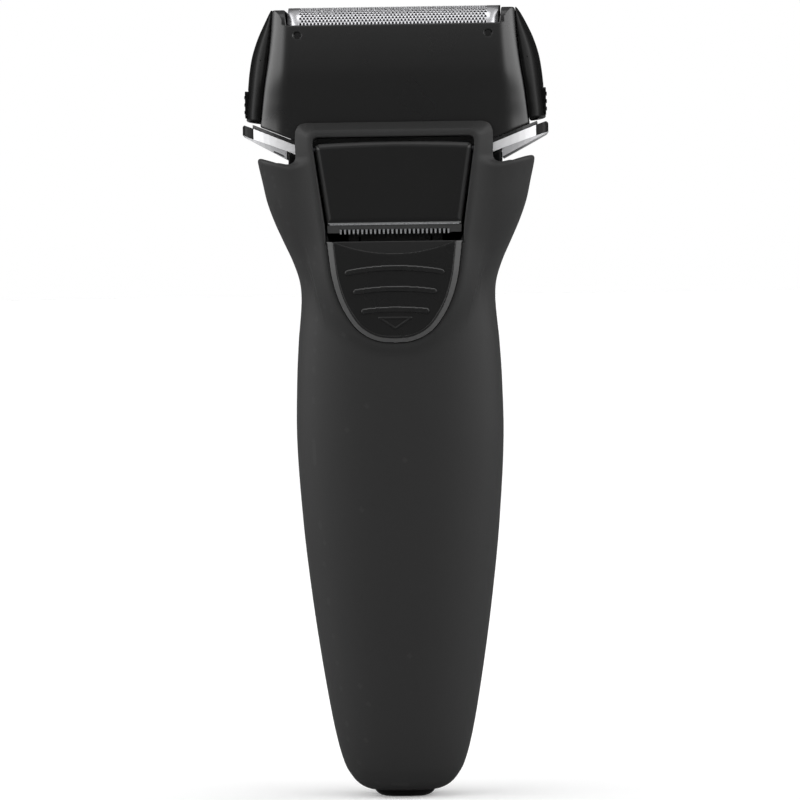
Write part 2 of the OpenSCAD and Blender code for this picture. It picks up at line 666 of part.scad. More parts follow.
// ribbed button with chamfered corners and a flange inside the panel
module release_button(side) color(gloss_color) on_side(side) {
  prism_x(mirrored([[-3.6, release_z + 2.7], [-4, release_z + 2.3], [-4, release_z - 2.3],
    [-3.6, release_z - 2.7]]), 27.9, 30.4);
  for (i = [-1:1]) let(z = release_z + 1.5 * i)
    prism_x(mirrored([[-3.2, z + 0.3], [-3.2, z - 0.3]]), 30.35, 30.58);
  box([27.2, -5.2, 137.4], [28.0, 5.2, 144.4]);
}
module release_spring(side) color(steel_color) on_side(side)
  translate([22.55, 0, release_z]) rotate([0, 90, 0]) coil(1.6, 0.25, 3.8, 4, 12);

// ---- foils and cutters: side -1 is rear, 1 is front ----
// extrudes a YZ shape, drawn about the arch centre, along X from x
module along_foil(side, x, length) {
  translate([x, side * foil_y, foil_z]) rotate([90, 0, 90]) linear_extrude(length) children();
}
// upper half of a disc
module half_disc(radius, facets = 64) {
  difference() {
    circle(radius, $fn = facets);
    translate([-6, -12]) square([12, 12]);
  }
}
// thin arch with straight legs
module foil(side) color(steel_color) along_foil(side, -foil_half, 2 * foil_half) {
  skin = 0.14;
  leg = 4.5;
  difference() {
    union() {
      circle(foil_radius, $fn = 96);
      translate([-foil_radius, -leg]) square([2 * foil_radius, leg]);
    }
    circle(foil_radius - skin, $fn = 96);
    translate([-foil_radius + skin, -5]) square([2 * foil_radius - 2 * skin, 5]);
    translate([-6, -9]) square([12, 4.5]);
  }
}
module foil_caps(side) color(gloss_color) for (end = sides) difference() {
  inner_radius = foil_radius - 0.16;
  along_foil(side, end * 20.45 - 0.55, 1.1) {
    half_disc(inner_radius);
    translate([-inner_radius, -6.4]) square([2 * inner_radius, 6.41]);
  }
  rod_x(-22, 22, side * foil_y, foil_z + 1.2, 0.7);
}
// lamellae on a core, with two stems below
module cutter(side) color(steel_color) {
  for (i = [0:lamellae - 1])
    along_foil(side, (i - (lamellae - 1) / 2) * 1.48 - 0.18, 0.36)
      half_disc(foil_radius - 0.22);
  color(white_color) along_foil(side, -18.6, 37.2) {
    half_disc(3.3, 48);
    translate([-3.3, -2.4]) square([6.6, 2.5]);
  }
  for (end = sides) rod_z(149.4, foil_z - 2.3, end * post_x, side * foil_y, 1.1);
}
module cutter_springs(side) color(steel_color) for (end = sides)
  translate([end * post_x, side * foil_y, spring_z])
    coil(1.75, 0.25, foil_z - 2.45 - spring_z, 5);
// plate with four cutter posts, a middle rib and a socket for the eccentric
module drive_bridge() color(white_color) difference() {
  union() {
    box([-17.5, -8.8, 140.6], [17.5, 8.8, 142.4]);
    box([-4.6, -4.2, 124], [4.6, 4.2, 140.7]);
    for (side = sides, end = sides) {
      rod_z(142.3, 143.5, end * post_x, side * foil_y, 2.3);
      rod_z(142.3, 150.2, end * post_x, side * foil_y, 1.15);
    }
    box([-14, -0.9, 142.3], [14, 0.9, 146]);
  }
  box([-2.5, -1.9, 123], [2.5, 1.9, 134]);
  for (side = sides, end = sides)
    translate([end * post_x, side * foil_y, 147.9]) cylinder(r = 3, h = 4);
}
module middle_blade() color(steel_color) difference() {
  box([-17.4, -0.45, 146.02], [17.4, 0.45, 159.4]);
  for (i = middle_slots)
    box([i * middle_pitch - 0.3, -1, 157.6], [i * middle_pitch + 0.3, 1, 160]);
  for (i = [-2:2]) box([i * 6.4 - 2.4, -1, 148.2], [i * 6.4 + 2.4, 1, 155.4]);
}
module middle_guard() color(gloss_color) difference() {
  union() {
    box([-21.4, -0.95, 152], [21.4, 0.95, 160.2]);
    for (side = sides) box([side * 20.7 - 0.65, -1.1, 149], [side * 20.7 + 0.65, 1.1, 153]);
  }
  box([-18.6, -0.6, 148], [18.6, 0.6, 159.6]);
  for (i = middle_slots)
    box([i * middle_pitch - 0.28, -2, 158.2], [i * middle_pitch + 0.28, 2, 161]);
}

NODES = [
  "rear_housing", "front_housing", "seam_gasket", "housing_screws", "chassis", "battery",
  "battery_tabs", "circuit_board", "power_switch", "led", "light_pipe", "motor",
  "motor_terminals", "motor_screws", "motor_shaft", "eccentric", "inlet", "inlet_pins",
  "power_button", "button_ring", "trimmer_panel", "trimmer_comb", "comb_cover",
  "trimmer_blade", "blade_dog", "blade_retainer", "trimmer_pin", "trimmer_springs", "slider",
  "slider_catch", "slider_screw", "slider_spring", "collar_left", "collar_right",
  "collar_cap_left", "collar_cap_right", "collar_foot_left", "collar_foot_right",
  "head_base", "pivot_brackets", "pivot_pins", "neck_gasket", "foil_frame",
  "side_panel_left", "side_panel_right", "release_button_left", "release_button_right",
  "release_spring_left", "release_spring_right", "foil_rear", "foil_front",
  "foil_caps_rear", "foil_caps_front", "cutter_rear", "cutter_front",
  "cutter_springs_rear", "cutter_springs_front", "drive_bridge", "middle_blade",
  "middle_guard"];

function on(name) = node == "all" || node == name;

if (on("rear_housing")) rear_housing();
if (on("front_housing")) front_housing();
if (on("seam_gasket")) seam_gasket();
if (on("housing_screws")) housing_screws();
if (on("chassis")) chassis();
if (on("battery")) battery();
if (on("battery_tabs")) battery_tabs();
if (on("circuit_board")) circuit_board();
if (on("power_switch")) power_switch();
if (on("led")) led();
if (on("light_pipe")) light_pipe();
if (on("motor")) motor();
if (on("motor_terminals")) motor_terminals();
if (on("motor_screws")) motor_screws();
if (on("motor_shaft")) motor_shaft();
if (on("eccentric")) eccentric();
if (on("inlet")) inlet();
if (on("inlet_pins")) inlet_pins();
if (on("power_button")) power_button();
if (on("button_ring")) button_ring();
if (on("trimmer_panel")) trimmer_panel();
if (on("trimmer_comb")) trimmer_comb();
if (on("comb_cover")) comb_cover();
if (on("trimmer_blade")) trimmer_blade();
if (on("blade_dog")) blade_dog();
if (on("blade_retainer")) blade_retainer();
if (on("trimmer_pin")) trimmer_pin();
if (on("trimmer_springs")) trimmer_springs();
if (on("slider")) slider();
if (on("slider_catch")) slider_catch();
if (on("slider_screw")) slider_screw();
if (on("slider_spring")) slider_spring();
if (on("collar_left")) collar(-1);
if (on("collar_right")) collar(1);
if (on("collar_cap_left")) collar_cap(-1);
if (on("collar_cap_right")) collar_cap(1);
if (on("collar_foot_left")) collar_foot(-1);
if (on("collar_foot_right")) collar_foot(1);
if (on("head_base")) head_base();
if (on("pivot_brackets")) pivot_brackets();
if (on("pivot_pins")) pivot_pins();
if (on("neck_gasket")) neck_gasket();
if (on("foil_frame")) foil_frame();
if (on("side_panel_left")) side_panel(-1);
if (on("side_panel_right")) side_panel(1);
if (on("release_button_left")) release_button(-1);
if (on("release_button_right")) release_button(1);
if (on("release_spring_left")) release_spring(-1);
if (on("release_spring_right")) release_spring(1);
if (on("foil_rear")) foil(-1);
if (on("foil_front")) foil(1);
if (on("foil_caps_rear")) foil_caps(-1);
if (on("foil_caps_front")) foil_caps(1);
if (on("cutter_rear")) cutter(-1);
if (on("cutter_front")) cutter(1);
if (on("cutter_springs_rear")) cutter_springs(-1);
if (on("cutter_springs_front")) cutter_springs(1);
if (on("drive_bridge")) drive_bridge();
if (on("middle_blade")) middle_blade();
if (on("middle_guard")) middle_guard();
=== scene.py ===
# Foil shaver standing upright on the floor, drawn in mm and built in metres. Z is up and X runs
# across its width. The rear shell, with the trimmer panel and slider, faces -Y and the camera;
# the front shell faces +Y. The head with its two foils sits on top.
import bpy, bmesh, json, math
from functools import reduce
from itertools import combinations
import numpy as np
from mathutils import Vector, Matrix


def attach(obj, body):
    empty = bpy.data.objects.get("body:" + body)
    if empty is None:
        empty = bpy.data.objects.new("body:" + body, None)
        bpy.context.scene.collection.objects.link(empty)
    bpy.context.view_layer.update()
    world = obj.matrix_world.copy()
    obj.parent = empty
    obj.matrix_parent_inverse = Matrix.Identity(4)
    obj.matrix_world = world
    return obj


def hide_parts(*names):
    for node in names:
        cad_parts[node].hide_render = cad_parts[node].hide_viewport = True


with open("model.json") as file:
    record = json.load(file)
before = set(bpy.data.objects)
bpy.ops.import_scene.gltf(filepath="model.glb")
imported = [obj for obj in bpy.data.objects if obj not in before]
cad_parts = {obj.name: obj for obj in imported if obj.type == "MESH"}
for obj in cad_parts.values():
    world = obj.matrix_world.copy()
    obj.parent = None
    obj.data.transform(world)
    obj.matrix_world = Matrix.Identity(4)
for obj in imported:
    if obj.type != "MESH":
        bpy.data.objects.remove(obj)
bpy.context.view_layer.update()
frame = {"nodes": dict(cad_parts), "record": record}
NODES = frame["nodes"]
SLOT = {part["node"]: part["material_slot"] for part in frame["record"]["subparts"]}
BODY = {node: body for body, nodes in frame["record"]["behaviour"]["bodies"].items()
        for node in nodes}
MM = 0.001

# ------------------------------------------------------------------ driving sizes (mm)
WAIST, GRIP, SHOULDER = 19.65, 20.96, 28.0    # half widths of the handle
WALL = 2.0
FOOT_Z = 1.4                    # underside of the handle
SEAM_GAP = 0.1                  # each shell stops this far from y = 0
RIM_X = 21.6                    # where the shoulders start to rise
CAVITY_Z = (7, 121.8)           # floor and roof of the hollow inside the shells
HOLE_X, HOLE_Z = 12, 124.2      # pair of round holes high in both shells
HINGE_Y, HINGE_Z = -15.4, 131.2    # axis at the top of the trimmer panel
FOIL_Y, FOIL_Z = 6.2, 154.9     # axis of each foil arch
FOIL_R = 5.0
SIDES = (("left", -1), ("right", 1))
FACES = (("rear", -1), ("front", 1))

# Smooth profiles, each a list of (z, value)
HALF_WIDTH = [
    [1.4, 7.6], [2.6, 9.4], [3.9, 10.6], [6.3, 12.05], [11.5, 13.6], [19.7, 15.2], [31.8, 17.1],
    [44, 18.7], [56.1, 19.95], [72.3, GRIP], [84.5, GRIP - 0.16], [92.6, 20.35], [100.7, WAIST],
    [104.7, WAIST + 0.25], [108.8, 21.2], [112.8, 23], [116.9, 24.8], [120.9, 26.2], [125, 27.1],
    [129, SHOULDER - 0.05], [131, SHOULDER + 0.2]]
REAR_DEPTH = [
    [1.4, 5.4], [2.6, 7], [3.9, 8.2], [6.3, 9.7], [11.5, 11.3], [19.7, 12.7], [31.8, 14],
    [44, 15.1], [56, 15.9], [72, 16.6], [84, 16.8], [100, 16.8], [131, 16.6]]
FRONT_DEPTH = [
    [1.4, 5.4], [2.6, 7], [3.9, 8.2], [6.3, 9.7], [11.5, 11.4], [19.7, 12.9], [31.8, 14.3],
    [44, 15.4], [56, 16.1], [72, 16.5], [84, 16.3], [100, 15.8], [112, 15.3], [122, 14.8],
    [131, 14.3]]
# superellipse power of the handle's section: 2 is an ellipse, more is squarer
SQUARENESS = [[1.4, 2.2], [40, 2.3], [80, 2.5], [100, 2.7], [115, 3.2], [131, 4]]
HEAD_DEPTH = [[132, 12.1], [137, 12.2], [141, 12.6], [146, 13.1], [150, 13], [154, 12.6],
              [157, 12.1], [159.6, 11.7]]
HEAD_EDGE = [[132, 27.5], [136.5, 27], [143.2, 26.2], [149.1, 25.3], [154.6, 24.7],
             [159.6, 24.4]]    # half width of the head frame
HEAD_SIDE = [[136, 30.35], [139, 30.35], [143.2, 30], [147.2, 29.6], [150.5, 29],
             [153.7, 27.95], [156.2, 26.8], [158.6, 25.5], [159.8, 24.6]]    # crest of side panel

# Top edge of each shell, (|x|, z), joined by straight lines
SHOULDER_RIM = [[RIM_X, 128.4], [27.4, 129.85], [28.2, 130.1], [29, 130.6]]
REAR_TOP = [[0, 128.4]] + SHOULDER_RIM
FRONT_TOP = [[0, 131.4], [20.4, 131.4]] + SHOULDER_RIM

# Half outlines in the XZ plane, (x, z)
SLIDER_EDGE = [[13.6, 112.8], [13.25, 109.5], [12.8, 106.1], [12, 102.8], [10.9, 99.9],
               [9.5, 97.4], [7.8, 95.2], [5.6, 93.6], [3, 92.65], [0, 92.4]]
EDGE_CENTRE_Z = 106             # below this the slider's edge is offset away from (0, z)
RECESS = [[0, 133.6], [15.2, 133.6], [15.9, 133.3], [16.1, 132.6], [16.02, 131.2],
          [14.95, 123.6], [13.85, 115.8], [13.75, 112.3], [0, 112.3]]
PANEL = [[0, 132.75], [6, 132.65], [12, 132.45], [15, 132.25], [15.55, 131.9], [15.66, 131.2],
         [14.5, 123.6], [13.45, 116.3], [0, 116.3]]
CHEEK = [[15, 128.7], [19.4, 128.7], [19.7, 127.9], [20.9, 127.9], [21.3, 128.3],
         [21.3, 130.9], [19.7, 130.3], [19.7, 132.3], [15, 132.3]]    # whole outline, x > 0


# ------------------------------------------------------------------ curves and outlines
PROFILE_STEP = 0.05
SPLINE_STEPS = 6


def profile(stations):
    """Cubic curve through (z, value) stations, as a function of z."""
    z, value = np.array(stations, float).T
    slope = np.empty(len(z))
    slope[1:-1] = (value[2:] - value[:-2]) / (z[2:] - z[:-2])
    slope[0] = (value[1] - value[0]) / (z[1] - z[0])
    slope[-1] = (value[-1] - value[-2]) / (z[-1] - z[-2])
    fine_z = np.linspace(z[0], z[-1], int((z[-1] - z[0]) / PROFILE_STEP) + 2)
    i = np.clip(np.searchsorted(z, fine_z, side="right") - 1, 0, len(z) - 2)
    span = z[i + 1] - z[i]
    u = (fine_z - z[i]) / span
    fine = ((2 * u**3 - 3 * u**2 + 1) * value[i] + (u**3 - 2 * u**2 + u) * slope[i] * span
            + (3 * u**2 - 2 * u**3) * value[i + 1] + (u**3 - u**2) * slope[i + 1] * span)
    return lambda at: np.interp(at, fine_z, fine)


half_width, rear_depth, front_depth, squareness, head_depth, head_edge, head_side = [
    profile(t) for t in (HALF_WIDTH, REAR_DEPTH, FRONT_DEPTH, SQUARENESS, HEAD_DEPTH,
                         HEAD_EDGE, HEAD_SIDE)]


def follow(at, stations):
    """Straight-line reading of (place, value) stations."""
    return np.interp(at, *np.transpose(stations))


def spline(points):
    """Catmull-Rom curve through points; its ends are extended straight."""
    P = np.array(points, float)
    out = []
    for i in range(len(P) - 1):
        a, b = P[i], P[i + 1]
        before = P[i - 1] if i > 0 else 2 * a - b
        after = P[i + 2] if i + 2 < len(P) else 2 * b - a
        for k in range(SPLINE_STEPS):
            t = k / SPLINE_STEPS
            out.append(0.5 * (2 * a + (b - before) * t
                              + (2 * before - 5 * a + 4 * b - after) * t * t
                              + (3 * a - before - 3 * b + after) * t ** 3))
    out.append(P[-1])
    return np.array(out)


def mirror(half):
    """Closed outline from its x >= 0 half."""
    points = [tuple(q) for q in half]
    return np.array(points + [(-x, z) for x, z in reversed(points) if abs(x) > 1e-3])


def offset_edge(distance):
    """The slider's edge moved outward: sideways on the flanks, radially round the bottom."""
    moved = []
    for x, z in SLIDER_EDGE:
        if z > EDGE_CENTRE_Z:
            moved.append([x + distance, z])
        else:
            ray = np.array([x, z - EDGE_CENTRE_Z])
            moved.append(list(np.array([x, z]) + ray / np.linalg.norm(ray) * distance))
    return moved


class Outline:
    """Signed distance to a closed XZ polygon, sampled on a grid and read back bilinearly."""
    PAD, STEP = 4.0, 0.08

    def __init__(self, polygon):
        P = np.array(polygon, float)
        self.low = P.min(0) - self.PAD
        high = P.max(0) + self.PAD
        axes = [self.low[i] + self.STEP * np.arange(int((high[i] - self.low[i]) / self.STEP) + 2)
                for i in range(2)]
        X, Z = np.meshgrid(*axes, indexing="ij")
        squared = np.full(X.shape, 1e9)
        sign = np.ones(X.shape)
        for i in range(len(P)):
            a, b = P[i], P[(i + 1) % len(P)]
            edge = b - a
            length2 = edge @ edge
            if length2 < 1e-12:
                continue
            wx, wz = X - a[0], Z - a[1]
            t = np.clip((wx * edge[0] + wz * edge[1]) / length2, 0, 1)
            squared = np.minimum(squared, (wx - edge[0] * t) ** 2 + (wz - edge[1] * t) ** 2)
            above, below, left = Z >= a[1], Z < b[1], edge[0] * wz > edge[1] * wx
            sign = np.where((above & below & left) | (~above & ~below & ~left), -sign, sign)
        self.grid = (sign * np.sqrt(squared)).astype(np.float32)

    def __call__(self, x, z):
        nx, nz = self.grid.shape
        u, v = (x - self.low[0]) / self.STEP, (z - self.low[1]) / self.STEP
        cu, cv = np.clip(u, 0, nx - 1.001), np.clip(v, 0, nz - 1.001)
        i, j = cu.astype(int), cv.astype(int)
        a, b = cu - i, cv - j
        G = self.grid
        near = (G[i, j] * (1 - a) * (1 - b) + G[i + 1, j] * a * (1 - b)
                + G[i, j + 1] * (1 - a) * b + G[i + 1, j + 1] * a * b)
        return near + self.STEP * np.hypot(u - cu, v - cv)


# the raised pad round the slider and panel: its foot on the handle, and its face
PAD_FOOT = [[17.6, 136.6], [18.9, 136.2], [19.6, 135.2], [19.8, 133.6], [19.6, 128],
            [18.2, 118]] + offset_edge(3.6)
PAD_FACE = [[15.6, 134.9], [16.4, 134.5], [16.8, 134], [16.9, 133.2], [16.6, 130],
            [15.3, 119]] + offset_edge(0.9)
pad_foot = Outline(mirror(spline(PAD_FOOT)))
pad_face = Outline(mirror(spline(PAD_FACE)))
recess = Outline(mirror(RECESS))
panel = Outline(mirror(PANEL))
slider = Outline(mirror([[0, 118.0], [14.4, 118.0], *spline(SLIDER_EDGE)]))
cheek = Outline(CHEEK)


# ------------------------------------------------------------------ distance fields
# A field is negative inside its shape. Factors just below 1 on slanted fields bring them
# nearer to true distance.
def join(a, b, blend=0.0):
    both = np.minimum(a, b)
    if blend:
        h = np.maximum(blend - np.abs(a - b), 0) / blend
        both = both - h * h * blend * 0.25
    return both


def meet(*fields, blend=0.0):
    return reduce(lambda a, b: -join(-a, -b, blend), fields)


def cut(body, tool, blend=0.0):
    return meet(body, -tool, blend=blend)


def box(p, low, high, corner=0.0):
    over = [np.abs(p[:, i] - (low[i] + high[i]) / 2) - ((high[i] - low[i]) / 2 - corner)
            for i in range(3)]
    outside = np.sqrt(sum(np.maximum(v, 0) ** 2 for v in over))
    return outside + np.minimum(meet(*over), 0) - corner


def rod(u, v, at, radius):
    """Endless round bar across the u, v plane."""
    return np.hypot(u - at[0], v - at[1]) - radius


def superellipse(x, y, half_x, half_y, power):
    a = np.maximum(np.abs(x) / half_x, 1e-4)
    b = np.maximum(np.abs(y) / half_y, 1e-4)
    s = a ** power + b ** power
    slope = (np.sqrt((a ** (power - 1) / half_x) ** 2 + (b ** (power - 1) / half_y) ** 2)
             * s ** (1 / power - 1))
    return (s ** (1 / power) - 1) / np.maximum(slope, 1e-6)


# ------------------------------------------------------------------ meshing
BLOCK = 6                       # grid cells along each side of a block


def lattice(sizes):
    axes = [np.arange(k) for k in sizes]
    return np.stack(np.meshgrid(*axes, indexing="ij"), -1).reshape(-1, 3)


CORNERS = lattice((2, 2, 2))


def add_object(name, data):
    ob = bpy.data.objects.new(name, data)
    bpy.context.scene.collection.objects.link(ob)
    return ob


def quad_object(name, verts, quads, normals):
    """Smooth quad mesh in metres from vertices in mm."""
    mesh = bpy.data.meshes.new(name)
    mesh.vertices.add(len(verts))
    mesh.vertices.foreach_set("co", (verts * MM).astype(np.float32).reshape(-1))
    mesh.loops.add(quads.size)
    mesh.loops.foreach_set("vertex_index", quads.reshape(-1).astype(np.int32))
    mesh.polygons.add(len(quads))
    mesh.polygons.foreach_set("loop_start", (4 * np.arange(len(quads))).astype(np.int32))
    mesh.polygons.foreach_set("use_smooth", np.ones(len(quads), bool))
    mesh.update(calc_edges=True)
    mesh.validate()
    mesh.normals_split_custom_set_from_vertices(normals.astype(np.float32).tolist())
    return add_object(name, mesh)


def field_object(name, field, low, high, step):
    """Mesh of field = 0: a vertex per crossed cell, a quad per crossed grid edge."""
    low = np.array(low, float)
    count = np.ceil((np.array(high, float) - low) / (step * BLOCK)).astype(int)

    # keep only the blocks the surface may pass through, and sample those
    blocks = lattice(count)
    reach = 0.5 * math.sqrt(3) * step * BLOCK * 1.35 + 0.3
    blocks = blocks[np.abs(field(low + (blocks + 0.5) * step * BLOCK)) < reach]
    nodes = lattice([BLOCK + 1] * 3)
    samples = np.empty((len(blocks), len(nodes)), np.float32)
    batch = max(1, 400000 // len(nodes))
    for s in range(0, len(blocks), batch):
        q = (blocks[s:s + batch, None, :] * BLOCK + nodes[None]).reshape(-1, 3)
        samples[s:s + batch] = field(low + q * step).reshape(-1, len(nodes))
    samples = samples.reshape(-1, BLOCK + 1, BLOCK + 1, BLOCK + 1)
    inside = samples < 0
    size = count * BLOCK + 2

    def key(ijk):
        return (ijk[..., 0] * size[1] + ijk[..., 1]) * size[2] + ijk[..., 2]

    # crossed cells, sorted by key
    full = np.zeros((len(blocks), BLOCK, BLOCK, BLOCK), np.int8)
    for dx, dy, dz in CORNERS:
        full += inside[:, dx:BLOCK + dx, dy:BLOCK + dy, dz:BLOCK + dz]
    found = np.array(np.nonzero((full > 0) & (full < 8)))
    cells = blocks[found[0]] * BLOCK + found[1:].T
    keys = key(cells)
    order = np.argsort(keys)
    cells, keys, found = cells[order], keys[order], found[:, order]

    # vertex: mean of the crossings on the cell's edges
    values = [samples[(found[0], *(found[1:] + corner[:, None]))] for corner in CORNERS]
    total = np.zeros((len(cells), 3))
    number = np.zeros(len(cells))
    for a, b in combinations(range(8), 2):
        direction = CORNERS[b] - CORNERS[a]
        if np.abs(direction).sum() != 1:
            continue
        va, vb = values[a], values[b]
        crossed = (va < 0) != (vb < 0)
        t = np.where(crossed, va / np.where(crossed, va - vb, 1), 0)
        total += crossed[:, None] * (CORNERS[a] + t[:, None] * direction)
        number += crossed
    verts = low + (cells + total / number[:, None]) * step

    quads = []
    for axis in range(3):
        first = np.take(inside, np.arange(BLOCK), axis=axis + 1)
        second = np.take(inside, np.arange(1, BLOCK + 1), axis=axis + 1)
        edges = np.nonzero(first != second)
        places = blocks[edges[0]] * BLOCK + np.stack(edges[1:], -1)
        _, once = np.unique(key(places), return_index=True)
        places, leaving = places[once], first[edges][once]
        across, up = np.eye(3, dtype=int)[[(axis + 1) % 3, (axis + 2) % 3]]
        ring = []
        complete = np.ones(len(places), bool)
        for shift in (-across - up, -up, 0 * across, -across):
            wanted = key(places + shift)
            index = np.clip(np.searchsorted(keys, wanted), 0, len(keys) - 1)
            complete &= keys[index] == wanted
            ring.append(index)
        ring = np.stack(ring, -1)[complete]
        leaving = leaving[complete]
        ring[~leaving] = ring[~leaving][:, ::-1]
        quads.append(ring)

    def gradient(points):
        reach = step * 0.12
        slope = np.empty_like(points)
        for axis in range(3):
            d = np.zeros(3)
            d[axis] = reach
            slope[:, axis] = (field(points + d) - field(points - d)) / (2 * reach)
        return slope

    # pull the vertices onto the surface
    for _ in range(2):
        slope = gradient(verts)
        squared = np.maximum((slope ** 2).sum(1), 0.05)
        move = (field(verts) / squared)[:, None] * slope
        length = np.linalg.norm(move, axis=1, keepdims=True)
        verts = verts - move * np.minimum(1, 0.6 * step / np.maximum(length, 1e-9))
    slope = gradient(verts)
    normals = slope / np.maximum(np.linalg.norm(slope, axis=1, keepdims=True), 1e-9)
    return quad_object(name, verts, np.concatenate(quads), normals)


# ------------------------------------------------------------------ handle shells
PAD_FACE_Y, PAD_FLARE, PAD_BACK_Y = -17.3, 3.5, -12.9    # flare: depth from face to foot
RECESS_FLOOR_Y = -13.8
SLIDER_SLOT = (-2.7, -30, 94.2), (2.7, -12, 108.3)
FOOT_OPENING = dict(half_x=6.35, half_y=4.55, power=2.6)
FOOT_OPENING_TOP = 8
ROUND_Z = 98                    # stepped round opening in the front
LONG_HOLE_Z = (74, 78)          # ends of the small upright slot in the front
FRONT_BORE_Y = 10               # front openings are cut forward from here
WELL_FLOOR_Z, WELL_X, WELL_Y = 126.4, 21.5, 12.9
WELL_PIT = (-9.5, -10, 115), (9.5, 10, 150)


def handle(x, y, z, side, inset=0):
    """Solid handle; side is -1 for the rear and 1 for the front."""
    depth = rear_depth if side < 0 else front_depth
    return superellipse(x, y, half_width(z) - inset, depth(z) - inset, squareness(z)) * 0.96


def cavity(x, y, z, side):
    outward = side * y
    hollow = handle(x, np.maximum(outward, 0), z, side, WALL)
    return meet(hollow, CAVITY_Z[0] - z, z - CAVITY_Z[1], -1 - outward)


def well(p):
    """Sunk deck between the shoulders, relieved under the collar's inner corner, and its pit."""
    x, y, z = np.abs(p[:, 0]), p[:, 1], p[:, 2]
    deck = meet(WELL_FLOOR_Z - z, x - WELL_X)
    relief = meet((128.05 + 0.371 * (x - RIM_X) - z) * 0.93, 20.0 - x)
    return join(meet(np.abs(y) - WELL_Y, join(deck, relief)), box(p, *WELL_PIT, 0.6))


def foot_opening(x, y, z):
    return meet(superellipse(x, y, **FOOT_OPENING), z - FOOT_OPENING_TOP)


def rear_shell(p):
    x, y, z = p.T
    body = meet(handle(x, y, z, side=-1), FOOT_Z - z, blend=1.0)
    body = meet(body, (z - follow(np.abs(x), REAR_TOP)) * 0.97, blend=1.1)
    # raised pad, widening from its face to its foot
    t = np.clip((y - PAD_FACE_Y) / PAD_FLARE, 0, 1)
    edge = pad_face(x, z) * (1 - t) + pad_foot(x, z) * t
    pad = meet(meet(edge * 0.8, PAD_FACE_Y - y, blend=0.7), y - PAD_BACK_Y)
    body = join(body, pad, blend=1.6)
    body = cut(body, cavity(x, y, z, side=-1))
    body = cut(body, well(p), blend=0.5)
    body = cut(body, meet(recess(x, z), y - RECESS_FLOOR_Y), blend=0.4)
    body = cut(body, box(p, *SLIDER_SLOT, 0.5))
    body = cut(body, foot_opening(x, y, z))
    # stepped holes: wide outside, narrow inside
    for _, s in SIDES:
        at = (s * HOLE_X, HOLE_Z)
        body = cut(body, meet(rod(x, z, at, radius=2.05), y + 12.0))
        body = cut(body, meet(rod(x, z, at, radius=1.02), -14 - y))
    bore = meet(rod(y, z, (HINGE_Y, HINGE_Z), radius=0.61), np.abs(x) - 17.4)
    body = cut(body, bore)
    return meet(body, y + SEAM_GAP, blend=0.35)


def front_shell(p):
    x, y, z = p.T
    body = meet(handle(x, y, z, side=1), FOOT_Z - z, blend=1.0)
    # the top edge falls slightly toward the front
    body = meet(body, (z + 0.07 * y - follow(np.abs(x), FRONT_TOP)) * 0.6, blend=0.9)
    body = cut(body, cavity(x, y, z, side=1))
    body = cut(body, well(p), blend=0.5)
    body = cut(body, foot_opening(x, y, z))
    body = cut(body, meet(rod(x, z, (0, ROUND_Z), radius=6.7), FRONT_BORE_Y - y))
    body = cut(body, meet(rod(x, z, (0, ROUND_Z), radius=8.15), 14.7 - y), blend=0.35)
    long_hole = rod(x, z, (0, np.clip(z, *LONG_HOLE_Z)), radius=1.65)
    body = cut(body, meet(long_hole, FRONT_BORE_Y - y), blend=0.3)
    for _, s in SIDES:
        body = cut(body, meet(rod(x, z, (s * HOLE_X, HOLE_Z), radius=0.85), y - 9))
    return meet(body, SEAM_GAP - y, blend=0.35)


# ------------------------------------------------------------------ head
FLAT_X = 20.6                   # the big faces are flat out to here, then curve back
END_ANGLE = math.radians(64)    # arc of that curve
END_DROP = 3.3                  # and how far it comes in
EAR_Y, EAR_Z, EAR_R = 8.7, 156.4, 3.05    # rounding of the top corners, seen from the side
HEAD_TUB = (-21.5, -11.35, 120), (21.5, 11.35, 170)
END_POCKET = (22.5, -6.6, 120), (27.7, 6.6, 149)
NOTCH_X, NOTCH_Z = 21.3, 156.2  # half width and floor of the notch through the top
DIMPLE_X, DIMPLE_Z = 19.1, 154.1
BUTTON_WINDOW = (20, -4.05, 137.95), (40, 4.05, 143.45)
POCKET_WALL = [[135, 28.75], [142, 28.7], [147.2, 28.2], [149, 20]]    # (z, x)


def head_face(x, z):
    """Half depth of the head frame."""
    bend = (np.abs(x) - FLAT_X) / (head_edge(z) - FLAT_X) * math.sin(END_ANGLE)
    s = np.clip(bend, 0, 0.95)
    return head_depth(z) - END_DROP * (1 - np.sqrt(1 - s * s)) / (1 - math.cos(END_ANGLE))


def head_frame(p):
    x, y, z = p.T
    ax, ay = np.abs(x), np.abs(y)
    body = meet((ay - head_face(x, z)) * 0.85, ax - head_edge(z), blend=0.35)
    body = meet(body, z - 159.4, blend=0.5)
    ear = np.where((ay > EAR_Y) & (z > EAR_Z), rod(ay, z, (EAR_Y, EAR_Z), EAR_R),
                   meet(ay - (EAR_Y + EAR_R), z - (EAR_Z + EAR_R)))
    body = np.where(z > EAR_Z, meet(body, ear), body)
    body = cut(body, box(p, *HEAD_TUB, 0.4), blend=0.25)
    notch = meet(NOTCH_Z - z, ax - (NOTCH_X + (z - NOTCH_Z) * 0.125))
    body = cut(body, notch, blend=0.3)
    # underside, rising toward the ends
    underside = 132.2 + np.maximum(0, ax - 19.7) * 0.405 + 0.85
    body = meet(body, (underside - z) * 0.93, blend=0.35)
    # cut twice: each pass softens the dimple's rim a little more
    for _ in range(2):
        dimple = meet(rod(ax, z, (DIMPLE_X, DIMPLE_Z), radius=0.7), 12.1 - ay)
        body = cut(body, dimple, blend=0.15)
    return cut(body, box(np.stack([ax, y, z], -1), *END_POCKET, 0.3))


